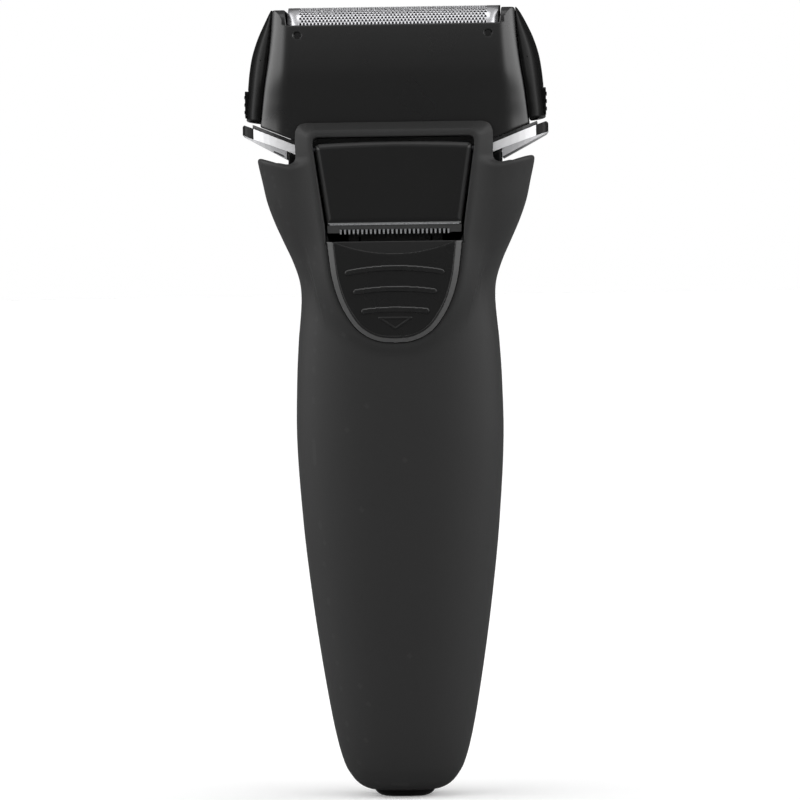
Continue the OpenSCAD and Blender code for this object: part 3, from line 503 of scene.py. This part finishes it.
def side_panel(p):
    """Bulged panel closing the +X end of the head."""
    x, y, z = p.T
    inner_x = head_edge(z) + 0.05
    half_y = head_depth(z) - 3.36
    crown = np.clip(1 - (y / half_y) ** 2, 0.0, 1) ** 0.45
    outer_x = inner_x + (head_side(z) - inner_x) * crown
    body = meet((x - outer_x) * 0.8, inner_x - x, blend=0.25)
    body = meet(body, np.abs(y) - half_y)
    body = meet(body, z - 159.75, blend=0.5)
    body = meet(body, 137.0 + (np.abs(x) - 27.5) * 0.1 - z, blend=0.5)
    pocket = meet(x - follow(z, POCKET_WALL), np.abs(y) - 6.4, z - 149)
    body = cut(body, pocket * 0.8)
    return cut(body, box(p, *BUTTON_WINDOW, 0.4), blend=0.3)


def neck_cheek(p):
    """Dark cheeks of the neck, seen between the collars and the handle."""
    x = np.abs(p[:, 0])
    body = meet(cheek(x, p[:, 2]), np.abs(p[:, 1]) - 11.8, blend=0.4)
    return meet(body, 17.0 - x, blend=0.3)


# ------------------------------------------------------------------ trimmer panel
PANEL_FACE_Y, PANEL_BEVEL_Y = -17.2, -16.6    # outer face, and where its bevel starts
PANEL_SKIN_Y, PANEL_BACK_Y = -15.9, -14.52    # back of the skin, and of the thick rim
PANEL_RIM_TOP = 130.2
HOLLOW_TOP = 128.6
HOLLOW_SIDE = [[115, 12.65], [121.4, 12.75], [HOLLOW_TOP, 13.4]]    # (z, half width)
PANEL_GROOVE = (-12.7, -16.22, 110), (12.7, -15, 119.6)
SPRING_X = 6.6                  # centre of each hinge spring


def trimmer_panel(p):
    x, y, z = p.T
    edge = panel(x, z)
    t = np.clip((PANEL_BEVEL_Y - y) / 0.6, 0, 1)
    skin = meet(meet(edge, (edge + t * 0.9) * 0.83), PANEL_FACE_Y - y, blend=0.25)
    rim_top = np.where(z > PANEL_RIM_TOP, z - PANEL_RIM_TOP, -1)
    rim = meet(panel(x, np.minimum(z, 131.9)), rim_top, y - PANEL_BACK_Y)
    rim = cut(rim, meet(np.abs(x) - follow(z, HOLLOW_SIDE), z - HOLLOW_TOP))
    body = join(meet(skin, y - PANEL_SKIN_Y), meet(rim, PANEL_BEVEL_Y - y))
    # hinge barrel, its bore, and a gap for each spring
    hinge = (HINGE_Y, HINGE_Z)
    barrel = meet(rod(y, z, hinge, radius=1.2), np.abs(x) - 15.3)
    body = join(body, meet(barrel, y - PANEL_BACK_Y), blend=0.2)
    body = cut(body, meet(np.abs(x) - 20, rod(y, z, hinge, radius=0.66)))
    gap = meet(np.abs(np.abs(x) - SPRING_X) - 2.6, rod(y, z, hinge, radius=1.55))
    body = cut(body, gap)
    return cut(body, box(p, *PANEL_GROOVE, 0.05))


# ------------------------------------------------------------------ slider
SLIDER_BEVEL_Y = -17.75
SLIDER_FACE_Y = -18.6
SLIDER_TOP, SLIDER_BACK_Y = 112.8, -17.42
SLIDER_STEM = (-2.4, -17.8, 97.2), (2.4, -14.55, 107.9)
SCOOP_Z, SCOOP_R = 141.8, 31.5  # thumb scoop, a shallow disc cut from above
RIDGES = [(107.9, 9.9, 51), (103.75, 8.3, 54), (99.65, 6.75, 57)]    # crown z, half width, arc
RIDGE_HALF = 0.5
ARROW = [(-3.1, 97.5), (3.1, 97.5), (0, 95.4)]    # corners of the outlined triangle, (x, z)


def to_segment(x, z, start, end):
    ex, ez = end[0] - start[0], end[1] - start[1]
    along = ((x - start[0]) * ex + (z - start[1]) * ez) / (ex * ex + ez * ez)
    t = np.clip(along, 0, 1)
    return np.hypot(x - start[0] - ex * t, z - start[1] - ez * t)


def slider_cap(p):
    x, y, z = p.T
    edge = slider(x, z)
    t = np.clip((SLIDER_BEVEL_Y - y) / 0.85, 0, 1.2)
    body = meet((edge + t * 1.2) * 0.8, SLIDER_FACE_Y - y, blend=0.2)
    body = meet(body, edge, -18.7 - y)
    # sunk face inside the rim
    body = cut(body, meet(edge + 1.45, y + 18.42), blend=0.12)
    ramp = y + 18.32 - np.clip((z - 110.3) * 0.16, 0, 0.45)
    scoop = meet(rod(x, z, (0, SCOOP_Z), SCOOP_R), ramp, edge + 0.6)
    body = cut(body, scoop, blend=0.12)
    body = meet(body, z - SLIDER_TOP, blend=0.25)
    # grip ridges: flat-topped bars arched about a centre far below
    for crown_z, half, radius in RIDGES:
        arc = rod(x, z, (0, crown_z - radius), radius - 0.45)
        over = np.maximum(np.abs(x) - half + RIDGE_HALF, 0)
        ridge = meet(np.sqrt(arc ** 2 + over ** 2) - RIDGE_HALF, -18.82 - y, blend=0.18)
        body = join(body, meet(ridge, y + 17.9), blend=0.05)
    outline = reduce(np.minimum, [to_segment(x, z, a, b) for a, b in combinations(ARROW, 2)])
    arrow = rod(outline, y, (0, -18.38), radius=0.25)
    body = join(body, meet(arrow, y + 18), blend=0.06)
    body = meet(body, y - SLIDER_BACK_Y)
    return join(body, box(p, *SLIDER_STEM, 0.3))


# ------------------------------------------------------------------ materials
def set_inputs(tree, node, inputs):
    """Links an input where its value is a socket, and sets it otherwise."""
    for socket, value in inputs.items():
        if isinstance(value, bpy.types.NodeSocket):
            tree.links.new(value, node.inputs[socket])
        else:
            node.inputs[socket].default_value = value


def add_node(tree, kind, inputs={}, **settings):
    node = tree.nodes.new("ShaderNode" + kind)
    for name, value in settings.items():
        setattr(node, name, value)
    set_inputs(tree, node, inputs)
    return node


def make_material(name, color, rough, metal=0.0, spec=0.5, grain=900.0, bump=0.0, rough_var=0.06,
                  color_var=0.06, aniso=0.0, trans=0.0, edge_highlight_strength=0.0, brush=None, ior=None):
    """Plastic or metal: grain is the fine noise's scale, brush stretches it along the axes,
    the _var values spread roughness and colour, and a lighter tint on convex edges is a painted
    highlight."""
    material = bpy.data.materials.new(name)
    material.use_nodes = True
    tree = material.node_tree
    shader = tree.nodes["Principled BSDF"]
    set_inputs(tree, shader, {
        "Base Color": (*color, 1), "Metallic": metal, "Specular IOR Level": spec,
        "Coat Roughness": 0.04, "Transmission Weight": trans})
    if ior:
        set_inputs(tree, shader, {"IOR": ior})

    place = fine_place = add_node(tree, "TexCoord").outputs["Object"]
    if brush:
        mapping = add_node(tree, "Mapping", {"Scale": brush, "Vector": place})
        fine_place = mapping.outputs["Vector"]
    fine = add_node(tree, "TexNoise", {"Scale": grain, "Detail": 4,
                                       "Vector": fine_place}).outputs["Fac"]
    # roughness follows the brushing where there is any, and broad patches elsewhere
    uneven = fine
    if not brush:
        uneven = add_node(tree, "TexNoise", {"Scale": 40, "Detail": 3,
                                             "Vector": place}).outputs["Fac"]
    spread = add_node(tree, "MapRange", {
        "From Min": 0.25, "From Max": 0.75, "To Min": max(0.01, rough - rough_var),
        "To Max": min(1, rough + rough_var), "Value": uneven})

    mottle = add_node(tree, "Mix", {
        "A": (*[max(0, c * (1 - color_var)) for c in color], 1),
        "B": (*[min(1, c * (1 + color_var)) for c in color], 1),
        "Factor": fine}, data_type="RGBA")
    tint = mottle.outputs["Result"]
    # painted highlight: convex edges, found by pointiness, get a lighter tint
    if edge_highlight_strength > 0:
        convex = add_node(tree, "NewGeometry").outputs["Pointiness"]
        edge_highlight_mix = add_node(tree, "MapRange", {"From Min": 0.505, "From Max": 0.56,
                                           "To Max": edge_highlight_strength, "Value": convex})
        tint = add_node(tree, "Mix", {
            "B": (*[min(1, c * 1.8 + 0.03) for c in color], 1), "A": tint,
            "Factor": edge_highlight_mix.outputs["Result"]}, data_type="RGBA").outputs["Result"]
    set_inputs(tree, shader, {"Roughness": spread.outputs["Result"], "Base Color": tint})

    if bump > 0:
        relief = add_node(tree, "Bump", {"Strength": bump, "Distance": 0.00005, "Height": fine})
        set_inputs(tree, shader, {"Normal": relief.outputs["Normal"]})
    if aniso > 0:
        tangent = add_node(tree, "Tangent", direction_type="RADIAL", axis="Z")
        set_inputs(tree, shader, {"Anisotropic": aniso, "Tangent": tangent.outputs["Tangent"]})
    material.diffuse_color = (*color, 1)
    return material


def grey(level):
    return (level, level, level)


LOOKS = {
    "shell_black": dict(color=grey(0.021), rough=0.55, spec=0.18, grain=2600, bump=0.25,
                        rough_var=0.04, edge_highlight_strength=0.1),
    "gloss_black": dict(color=grey(0.003), rough=0.14, spec=0.22, grain=1500, bump=0.02,
                        rough_var=0.03),
    "face_black": dict(color=grey(0.0045), rough=0.27, grain=2400, bump=0.10,
                       rough_var=0.04, edge_highlight_strength=0.1),
    "panel_black": dict(color=grey(0.004), rough=0.28, spec=0.4, grain=2400, bump=0.12,
                        rough_var=0.04, edge_highlight_strength=0.15),
    "silver_trim": dict(color=(0.73, 0.73, 0.74), rough=0.40, metal=0.35, grain=1400, bump=0.05,
                        brush=(8, 1, 1)),
    "steel": dict(color=(0.66, 0.67, 0.69), rough=0.28, metal=1.0, grain=1200, bump=0.08,
                  rough_var=0.08, brush=(1, 1, 12), aniso=0.3),
    "foil_steel": dict(color=(0.64, 0.64, 0.66), rough=0.28, metal=1.0, grain=1500, bump=0.04,
                       rough_var=0.05, brush=(1, 10, 10)),
    "lacquer": dict(color=grey(0.003), rough=0.2, spec=0.07, grain=1500, bump=0.02,
                    rough_var=0.04, edge_highlight_strength=0.08),
    "comb_black": dict(color=grey(0.028), rough=0.4, spec=0.4, grain=1800, bump=0.1,
                       rough_var=0.05),
    # painted highlight: a lighter black for the slider's rim band and the tops of its grip ridges
    "painted_highlight_black": dict(color=grey(0.062), rough=0.36, spec=0.4, grain=2000, bump=0.1,
                      rough_var=0.05),
    # darker copy of silver_trim: painted shade on the collar feet
    "shaded_silver_trim": dict(color=(0.40, 0.40, 0.41), rough=0.42, metal=0.35, grain=1400, bump=0.05,
                        brush=(8, 1, 1)),
    # painted highlight along the trimmer panel's bottom edge
    "bottom_edge_highlight": dict(color=grey(0.30), rough=0.35, spec=0.4, grain=1600, bump=0.05,
                      rough_var=0.04),
    # painted shade for the collars' bevelled edges
    "painted_edge_shade": dict(color=grey(0.02), rough=0.4, spec=0.3, grain=1400, bump=0.05),
    # steel darkened as painted shade, for parts seen through gaps and foil holes
    "painted_shade_steel": dict(color=(0.10, 0.10, 0.11), rough=0.35, metal=1.0, grain=1200, bump=0.08),
    "white_plastic": dict(color=(0.72, 0.72, 0.69), rough=0.42, grain=1200, bump=0.08),
    "grey_plastic": dict(color=(0.07, 0.07, 0.075), rough=0.45, grain=1500, bump=0.15),
    "rubber": dict(color=grey(0.012), rough=0.75, grain=1800, bump=0.3),
    "cell_wrap": dict(color=(0.04, 0.10, 0.27), rough=0.25, grain=300, bump=0.04,
                      color_var=0.12),
    "board": dict(color=(0.015, 0.10, 0.04), rough=0.3, grain=420, bump=0.25, color_var=0.45),
    "brass": dict(color=(0.72, 0.52, 0.22), rough=0.28, metal=1.0, bump=0.05),
    "clear": dict(color=(0.85, 0.9, 0.92), rough=0.22, trans=0.6, bump=0.05, ior=1.49),
}
MATERIALS = {name: make_material(name, **look) for name, look in LOOKS.items()}

# CAD pieces painted with something other than their slot's material
REPAINTED = {
    # the chassis is painted near black as painted shade, so the open slot behind the comb reads
    # dark
    "rubber": "chassis",
    "comb_black": "comb_cover",
    # pin, springs and cutters painted dark as painted shade, so the gaps and foil holes read dark
    "painted_shade_steel": "trimmer_pin trimmer_springs cutter_rear cutter_front",
    # collar feet: the same silver darkened as painted shade
    "shaded_silver_trim": "collar_foot_left collar_foot_right",
    "lacquer": "collar_cap_left collar_cap_right release_button_left release_button_right",
}
PAINT = {node: name for name, nodes in REPAINTED.items() for node in nodes.split()}


def paint(ob, name):
    ob.data.materials.clear()
    ob.data.materials.append(MATERIALS[name])


for node, ob in NODES.items():
    paint(ob, PAINT.get(node, SLOT[node]))
    for face in ob.data.polygons:
        face.use_smooth = True


def stand_for(ob, node):
    """Lets a detailed mesh take the place of a CAD piece."""
    paint(ob, SLOT[node])
    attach(ob, BODY[node])
    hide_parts(node)
    return ob


def face_vectors(mesh, what):
    values = np.empty(len(mesh.polygons) * 3)
    mesh.polygons.foreach_get(what, values)
    return values.reshape(-1, 3)


# ------------------------------------------------------------------ shells and head pieces
stand_for(field_object("rear_shell", rear_shell, low=(-30, -19.2, 0.2), high=(30, 1, 138),
                       step=0.34), "rear_housing")
stand_for(field_object("front_shell", front_shell, low=(-30, -1, 0.2), high=(30, 18, 132),
                       step=0.42), "front_housing")
stand_for(field_object("head_frame", head_frame, low=(-29, -14.5, 131.5), high=(29, 14.5, 161),
                       step=0.27), "foil_frame")
right = field_object("side_panel_r", side_panel, low=(22, -11.5, 135), high=(32, 11.5, 161),
                     step=0.2)
stand_for(right, "side_panel_right")
paint(right, "lacquer")

left_mesh = right.data.copy()
left_mesh.name = "side_panel_l"
left_mesh.transform(Matrix.Scale(-1, 4, (1, 0, 0)))
left_mesh.flip_normals()
left = stand_for(add_object("side_panel_l", left_mesh), "side_panel_left")
paint(left, "lacquer")


def build_trimmer_cover():
    cover = field_object("trimmer_cover", trimmer_panel, low=(-16.5, -18, 115.5),
                         high=(16.5, -13.8, 133.5), step=0.14)
    mesh = stand_for(cover, "trimmer_panel").data
    # painted highlight: a lighter grey line along the bottom edge
    mesh.materials.append(MATERIALS["bottom_edge_highlight"])
    x, y, z = (face_vectors(mesh, "center") / MM).T
    bottom_highlight_faces = (y < PANEL_BEVEL_Y) & (z < 116.48) & (np.abs(x) < 13.2)
    mesh.polygons.foreach_set("material_index", bottom_highlight_faces.astype(np.int32))


def build_neck_cheeks():
    cheeks = field_object("neck_cheeks", neck_cheek, low=(-22, -12.4, 127.3),
                          high=(22, 12.4, 132.8), step=0.3)
    paint(cheeks, "lacquer")
    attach(cheeks, BODY["head_base"])


def build_slider_cap():
    cap = field_object("slider_cap", slider_cap, low=(-14.5, -19.6, 91.5),
                       high=(14.5, -14, 113.6), step=0.13)
    mesh = stand_for(cap, "slider").data
    # the second material paints a highlight on the rim and ridge flanks; the third paints shade
    # as a dark line at the rim's outer edge
    for name in ("painted_highlight_black", "gloss_black"):
        mesh.materials.append(MATERIALS[name])
    rim, painted_shade_line = 1, 2           # material indices
    x, y, z = (face_vectors(mesh, "center") / MM).T
    normal_z = face_vectors(mesh, "normal")[:, 2]
    edge = slider(x, z)
    # painted highlight: a lighter band along the bevelled rim, with painted shade as a near-black
    # line at its outer edge
    outer = (edge < 0.1) & (y < -17.7) & (z < 112.6)
    index = np.where(outer & (edge > -follow(z, [[93, 1.0], [112, 1.3]])), rim, 0)
    index[outer & (edge > -0.2)] = painted_shade_line
    # the upper flank of each grip ridge gets the same painted highlight
    index[(edge < -1.5) & (y < -18.45) & (normal_z > 0.3) & (z < 109) & (z > 98.2)] = rim
    mesh.polygons.foreach_set("material_index", index.astype(np.int32))


build_trimmer_cover()
build_neck_cheeks()
build_slider_cap()

# ------------------------------------------------------------------ perforated foils
FOIL_HALF = 21.1                # half length of the sheet
MESH_HALF = 18.9                # half length of the perforated part
FOIL_LEG = 4.4                  # straight drop below each side of the arch
FOIL_SHEET = 0.1
HOLE_R = 0.262
HOLE_NUDGE = 1e-7               # keeps rim points clear of rounding ties
ARC = math.pi * FOIL_R
COLUMNS = int(round(2 * MESH_HALF / 0.713))
ROWS = int(round(ARC / 0.617))
PITCH_X, PITCH_V = 2 * MESH_HALF / COLUMNS, ARC / ROWS


def foil(name, side):
    """Sheet laid out flat in x and v, the arc length from the outer foot of the arch, then
    wrapped over the arch with a straight leg at both feet."""
    points, faces, index = [], [], {}

    def point(x, v):
        k = (round(x, 4), round(v, 4))
        if k not in index:
            index[k] = len(points)
            points.append((x, v))
        return index[k]

    def blank(x0, x1, v0, v1, between=()):
        vm = (v0 + v1) / 2
        faces.append([point(x0, v0)] + [point(x, v0) for x in between]
                     + [point(x1, v0), point(x1, vm), point(x1, v1)]
                     + [point(x, v1) for x in between] + [point(x0, v1), point(x0, vm)])

    def pierced(x0, x1, v0, v1):
        xm, vm = (x0 + x1) / 2, (v0 + v1) / 2
        border = [point(x, v) for x, v in ((x1, vm), (x1, v1), (xm, v1), (x0, v1),
                                           (x0, vm), (x0, v0), (xm, v0), (x1, v0))]
        rim = [point(xm + HOLE_R * math.cos(a * math.pi / 8) + HOLE_NUDGE,
                     vm + HOLE_R * math.sin(a * math.pi / 8)) for a in range(16)]
        for k in range(8):
            b0, b1 = border[k], border[(k + 1) % 8]
            h0, h1, h2 = rim[2 * k], rim[2 * k + 1], rim[(2 * k + 2) % 16]
            faces.append([b0, b1, h1, h0])
            faces.append([b1, h2, h1])

    # odd rows are shifted by half a pitch; the first and last rows have no holes
    for row in range(ROWS):
        v0, v1 = row * PITCH_V, (row + 1) * PITCH_V
        odd = row % 2
        for column in range(COLUMNS - odd):
            x0 = -MESH_HALF + (column + 0.5 * odd) * PITCH_X
            x1 = x0 + PITCH_X
            if 0 < row < ROWS - 1:
                pierced(x0, x1, v0, v1)
            else:
                blank(x0, x1, v0, v1, between=((x0 + x1) / 2,))
        if odd:
            blank(-MESH_HALF, -MESH_HALF + PITCH_X / 2, v0, v1)
            blank(MESH_HALF - PITCH_X / 2, MESH_HALF, v0, v1)
        blank(-FOIL_HALF, -MESH_HALF, v0, v1)
        blank(MESH_HALF, FOIL_HALF, v0, v1)

    end = ROWS * PITCH_V
    for foot, v0, v1 in ((0, -FOIL_LEG, 0), (end, end, end + FOIL_LEG)):
        xs = sorted({x for x, v in points if abs(v - foot) < 1e-4})
        for a, b in zip(xs[:-1], xs[1:]):
            faces.append([point(a, v0), point(b, v0), point(b, v1), point(a, v1)])

    x, v = np.array(points).T
    angle = np.clip(v, 0, end) / FOIL_R
    y = FOIL_R * np.cos(angle)
    z = FOIL_R * np.sin(angle) + np.minimum(v, 0) - np.maximum(v - end, 0)
    placed = np.stack([x, side * (FOIL_Y + y), FOIL_Z + z], -1) * MM
    mesh = bpy.data.meshes.new(name)
    mesh.from_pydata(placed.tolist(), [], [f if side < 0 else f[::-1] for f in faces])
    mesh.validate()
    for face in mesh.polygons:
        face.use_smooth = True
    ob = add_object(name, mesh)
    sheet = ob.modifiers.new("sheet", "SOLIDIFY")
    sheet.thickness = FOIL_SHEET * MM
    sheet.offset = -1
    return ob


for name, side in FACES:
    stand_for(foil("foil_sheet_" + name, side), "foil_" + name)

# ------------------------------------------------------------------ springs as round wire
TURN_STEPS, WIRE_SIDES = 26, 10
BLOCK_SPRING_X, BLOCK_SPRING_Z = 10, 143.55    # each block spring's axis and foot
BLOCK_SPRING_DROP = 2.45        # its top lies this far below the foil's axis


def coil(name, radius, wire, height, turns, place):
    """Coil rising along its own Z from 0; wire is a radius, place maps x, y, z to the shaver."""
    steps = int(turns * TURN_STEPS)
    t = np.arange(steps + 1) / steps
    a = 2 * np.pi * turns * t
    centre = np.stack([radius * np.cos(a), radius * np.sin(a),
                       wire + (height - 2 * wire) * t], -1)
    outward = np.stack([np.cos(a), np.sin(a), 0 * a], -1)
    b = 2 * np.pi * np.arange(WIRE_SIDES) / WIRE_SIDES
    tube = centre[:, None] + wire * (np.cos(b)[None, :, None] * outward[:, None]
                                     + np.sin(b)[None, :, None] * np.array([0, 0, 1.0]))
    verts = np.stack(place(*tube.reshape(-1, 3).T), -1) * MM
    faces = []
    for i in range(steps):
        here, there = i * WIRE_SIDES, (i + 1) * WIRE_SIDES
        for j in range(WIRE_SIDES):
            k = (j + 1) % WIRE_SIDES
            faces.append([here + j, here + k, there + k, there + j])
    faces.append(list(range(WIRE_SIDES))[::-1])
    faces.append([steps * WIRE_SIDES + j for j in range(WIRE_SIDES)])
    mesh = bpy.data.meshes.new(name)
    mesh.from_pydata(verts.tolist(), [], faces)
    for face in mesh.polygons:
        face.use_smooth = True
    ob = add_object(name, mesh)
    bm = bmesh.new()
    bm.from_mesh(mesh)
    bmesh.ops.recalc_face_normals(bm, faces=bm.faces)
    bm.to_mesh(mesh)
    bm.free()
    return ob


for letter, s in (("a", -1), ("b", 1)):
    stand_for(coil("torsion_spring_" + letter, radius=1.05, wire=0.22, height=4.6, turns=6,
                   place=lambda x, y, z: (s * SPRING_X - 4.6 / 2 + z, HINGE_Y + y, HINGE_Z + x)),
              "trimmer_springs")
stand_for(coil("return_spring", radius=1.1, wire=0.2, height=10.9, turns=8,
               place=lambda x, y, z: (x, y - 13.1, z + 85.6)), "slider_spring")
for name, s in SIDES:
    stand_for(coil("latch_spring_" + name, radius=1.6, wire=0.25, height=3.8, turns=4,
                   place=lambda x, y, z: (s * (22.55 + z), y, 140.7 - x)),
              "release_spring_" + name)
for name, s in FACES:
    for letter, t in (("a", -1), ("b", 1)):
        stand_for(coil(f"block_spring_{name}_{letter}", radius=1.75, wire=0.25,
                       height=FOIL_Z - BLOCK_SPRING_DROP - BLOCK_SPRING_Z, turns=5,
                       place=lambda x, y, z: (t * BLOCK_SPRING_X + x, s * FOIL_Y + y,
                                              BLOCK_SPRING_Z + z)),
                  "cutter_springs_" + name)

# ------------------------------------------------------------------ rounded edges on CAD pieces
BEVELS = {    # width: pieces
    0.02: "cutter_rear cutter_front middle_blade battery_tabs",
    0.03: "trimmer_comb trimmer_blade motor_terminals seam_gasket",
    0.05: "middle_guard circuit_board power_button inlet_pins led",
    0.06: "trimmer_pin motor_shaft motor_screws slider_screw",
    0.08: "blade_dog blade_retainer housing_screws button_ring light_pipe",
    0.1: "collar_foot_left collar_foot_right foil_caps_rear foil_caps_front inlet "
         "power_switch slider_catch neck_gasket eccentric",
    0.12: "release_button_left release_button_right comb_cover pivot_pins",
    0.15: "head_base chassis drive_bridge pivot_brackets",
    0.16: "collar_left collar_right",
    0.2: "collar_cap_left collar_cap_right",
    0.3: "motor battery",
}
for width, nodes in BEVELS.items():
    for node in nodes.split():
        bevel = NODES[node].modifiers.new("bevel", "BEVEL")
        bevel.width = width * MM
        bevel.segments = 2
        bevel.limit_method = "ANGLE"
        bevel.angle_limit = math.radians(35)
        bevel.harden_normals = True
        bevel.use_clamp_overlap = True

# painted shade: dark lines along the collars' bevelled edges
for node in ("collar_left", "collar_right", "collar_foot_left", "collar_foot_right"):
    NODES[node].data.materials.append(MATERIALS["painted_edge_shade"])
    NODES[node].modifiers["bevel"].material = 1

# ------------------------------------------------------------------ floor (metres from here on)
FLOOR_GLOW = 0.15               # emission seen by the camera only
FLOOR_BOUNCE = dict(other=0.26, diffuse=0.8)    # share of its colour on rays off the camera


def camera_mix(tree, for_camera, for_rest):
    """Float that is for_camera on camera rays and for_rest on every other ray."""
    seen = add_node(tree, "LightPath").outputs["Is Camera Ray"]
    return add_node(tree, "Mix", {"Factor": seen, "B": for_camera,
                                  "A": for_rest}).outputs["Result"]


def build_floor():
    """White paper, pale to the camera, that throws little light back up."""
    mesh = bpy.data.meshes.new("floor")
    mesh.from_pydata([(-6, -4, 0), (6, -4, 0), (6, 9, 0), (-6, 9, 0)], [], [(0, 1, 2, 3)])
    add_object("floor", mesh)
    paper = make_material("paper", color=grey(0.90), rough=0.9, spec=0.05, grain=60,
                          rough_var=0.03, color_var=0.004)
    mesh.materials.append(paper)
    tree = paper.node_tree
    shader = tree.nodes["Principled BSDF"]
    diffuse = add_node(tree, "LightPath").outputs["Is Diffuse Ray"]
    bounce = add_node(tree, "MapRange", {"To Min": FLOOR_BOUNCE["other"],
                                         "To Max": FLOOR_BOUNCE["diffuse"], "Value": diffuse})
    shade = add_node(tree, "Mix", {
        "Factor": camera_mix(tree, 1.0, bounce.outputs["Result"]), "A": (0, 0, 0, 1),
        "B": shader.inputs["Base Color"].links[0].from_socket}, data_type="RGBA")
    set_inputs(tree, shader, {
        "Emission Color": (1, 1, 1, 1), "Emission Strength": camera_mix(tree, FLOOR_GLOW, 0.0),
        "Base Color": shade.outputs["Result"]})


build_floor()

# ------------------------------------------------------------------ surroundings
# (direction, brightness): y -1 is the camera's side, z 1 is straight up, x is to the sides
ENV_Y = [(-1.0, 0.30), (0.0, 0.30), (0.5, 0.25), (0.75, 0.05), (1.0, 0.02)]
ENV_Z = [(-1.0, 0.5), (-0.05, 0.8), (0.1, 1.0), (0.3, 1.7), (0.6, 2.0), (1.0, 1.8)]
# bright strips at both sides, and how they fade toward +y
ENV_X = [(-1.0, 3.0), (-0.8, 3.0), (-0.62, 0.3), (-0.5, 0.0), (0.5, 0.0), (0.62, 0.3),
         (0.8, 3.0), (1.0, 3.0)]
ENV_X_FADE = [(-1.0, 1.0), (0.38, 1.0), (0.56, 0.08), (1.0, 0.05)]


def math_node(tree, operation, a, b):
    return add_node(tree, "Math", {0: a, 1: b}, operation=operation).outputs["Value"]


def env_curve(tree, source, points):
    """Piecewise-linear curve of a value in -1..1, from a colour ramp scaled by its peak."""
    unit = add_node(tree, "MapRange", {"From Min": -1, "Value": source})
    ramp = add_node(tree, "ValToRGB", {"Fac": unit.outputs["Result"]})
    stops = ramp.color_ramp.elements
    while len(stops) > 1:
        stops.remove(stops[-1])
    top = max(value for _, value in points)
    for i, (place, value) in enumerate(points):
        stop = stops[0] if i == 0 else stops.new((place + 1) / 2)
        stop.position = (place + 1) / 2
        stop.color = (*grey(value / top), 1)
    return math_node(tree, "MULTIPLY", ramp.outputs["Color"], top)


def build_world():
    """Plain white to the camera; a dim front with bright side strips to everything else."""
    world = bpy.data.worlds.new("studio")
    world.use_nodes = True
    tree = world.node_tree
    direction = add_node(tree, "TexCoord").outputs["Generated"]
    axes = add_node(tree, "SeparateXYZ", {"Vector": direction}).outputs
    room = math_node(tree, "MULTIPLY", env_curve(tree, axes["Y"], ENV_Y),
                     env_curve(tree, axes["Z"], ENV_Z))
    strips = math_node(tree, "MULTIPLY", env_curve(tree, axes["X"], ENV_X),
                       env_curve(tree, axes["Y"], ENV_X_FADE))
    light = math_node(tree, "ADD", room, strips)
    set_inputs(tree, tree.nodes["Background"], {
        "Color": (1, 1, 1, 1), "Strength": camera_mix(tree, 1.0, light)})
    bpy.context.scene.world = world


build_world()


# ------------------------------------------------------------------ lights
def area_light(name, place, target, width, height, power):
    light = bpy.data.lights.new(name, "AREA")
    light.shape = "RECTANGLE"
    light.size = width
    light.size_y = height
    light.energy = power
    ob = bpy.data.objects.new(name, light)
    ob.location = place
    aim = Vector(target) - Vector(place)
    ob.rotation_euler = aim.to_track_quat("-Z", "Y").to_euler()
    bpy.context.scene.collection.objects.link(ob)


for name, s in SIDES:
    area_light(name + "_softbox", place=(s * 0.7, -0.7, 0.45), target=(0, 0, 0.09),
               width=0.35, height=0.7, power=0.8)
area_light("top_light", place=(0, -0.25, 1.0), target=(0, 0, 0.08), width=0.5, height=0.5,
           power=1.2)

# ------------------------------------------------------------------ camera
AZIMUTH, ELEVATION, ROLL = (math.radians(a) for a in (2.2, 2.0, 0.78))
VIEW_WIDTH = 0.1626             # width seen at the target
TARGET = Vector((0.0, 0, 0.0805))

lens = bpy.data.cameras.new("camera")
lens.lens = 200
lens.sensor_width = 36
lens.clip_start = 0.01
lens.clip_end = 50
camera = add_object("camera", lens)
toward = Vector((math.sin(AZIMUTH) * math.cos(ELEVATION),
                 -math.cos(AZIMUTH) * math.cos(ELEVATION), math.sin(ELEVATION)))
camera.location = TARGET + toward * (VIEW_WIDTH * lens.lens / lens.sensor_width)
aim = (-toward).to_track_quat("-Z", "Y").to_matrix()
camera.rotation_euler = (aim @ Matrix.Rotation(-ROLL, 3, "Z")).to_euler()

scene = bpy.context.scene
scene.camera = camera
scene.view_settings.view_transform = "Standard"
scene.view_settings.look = "None"
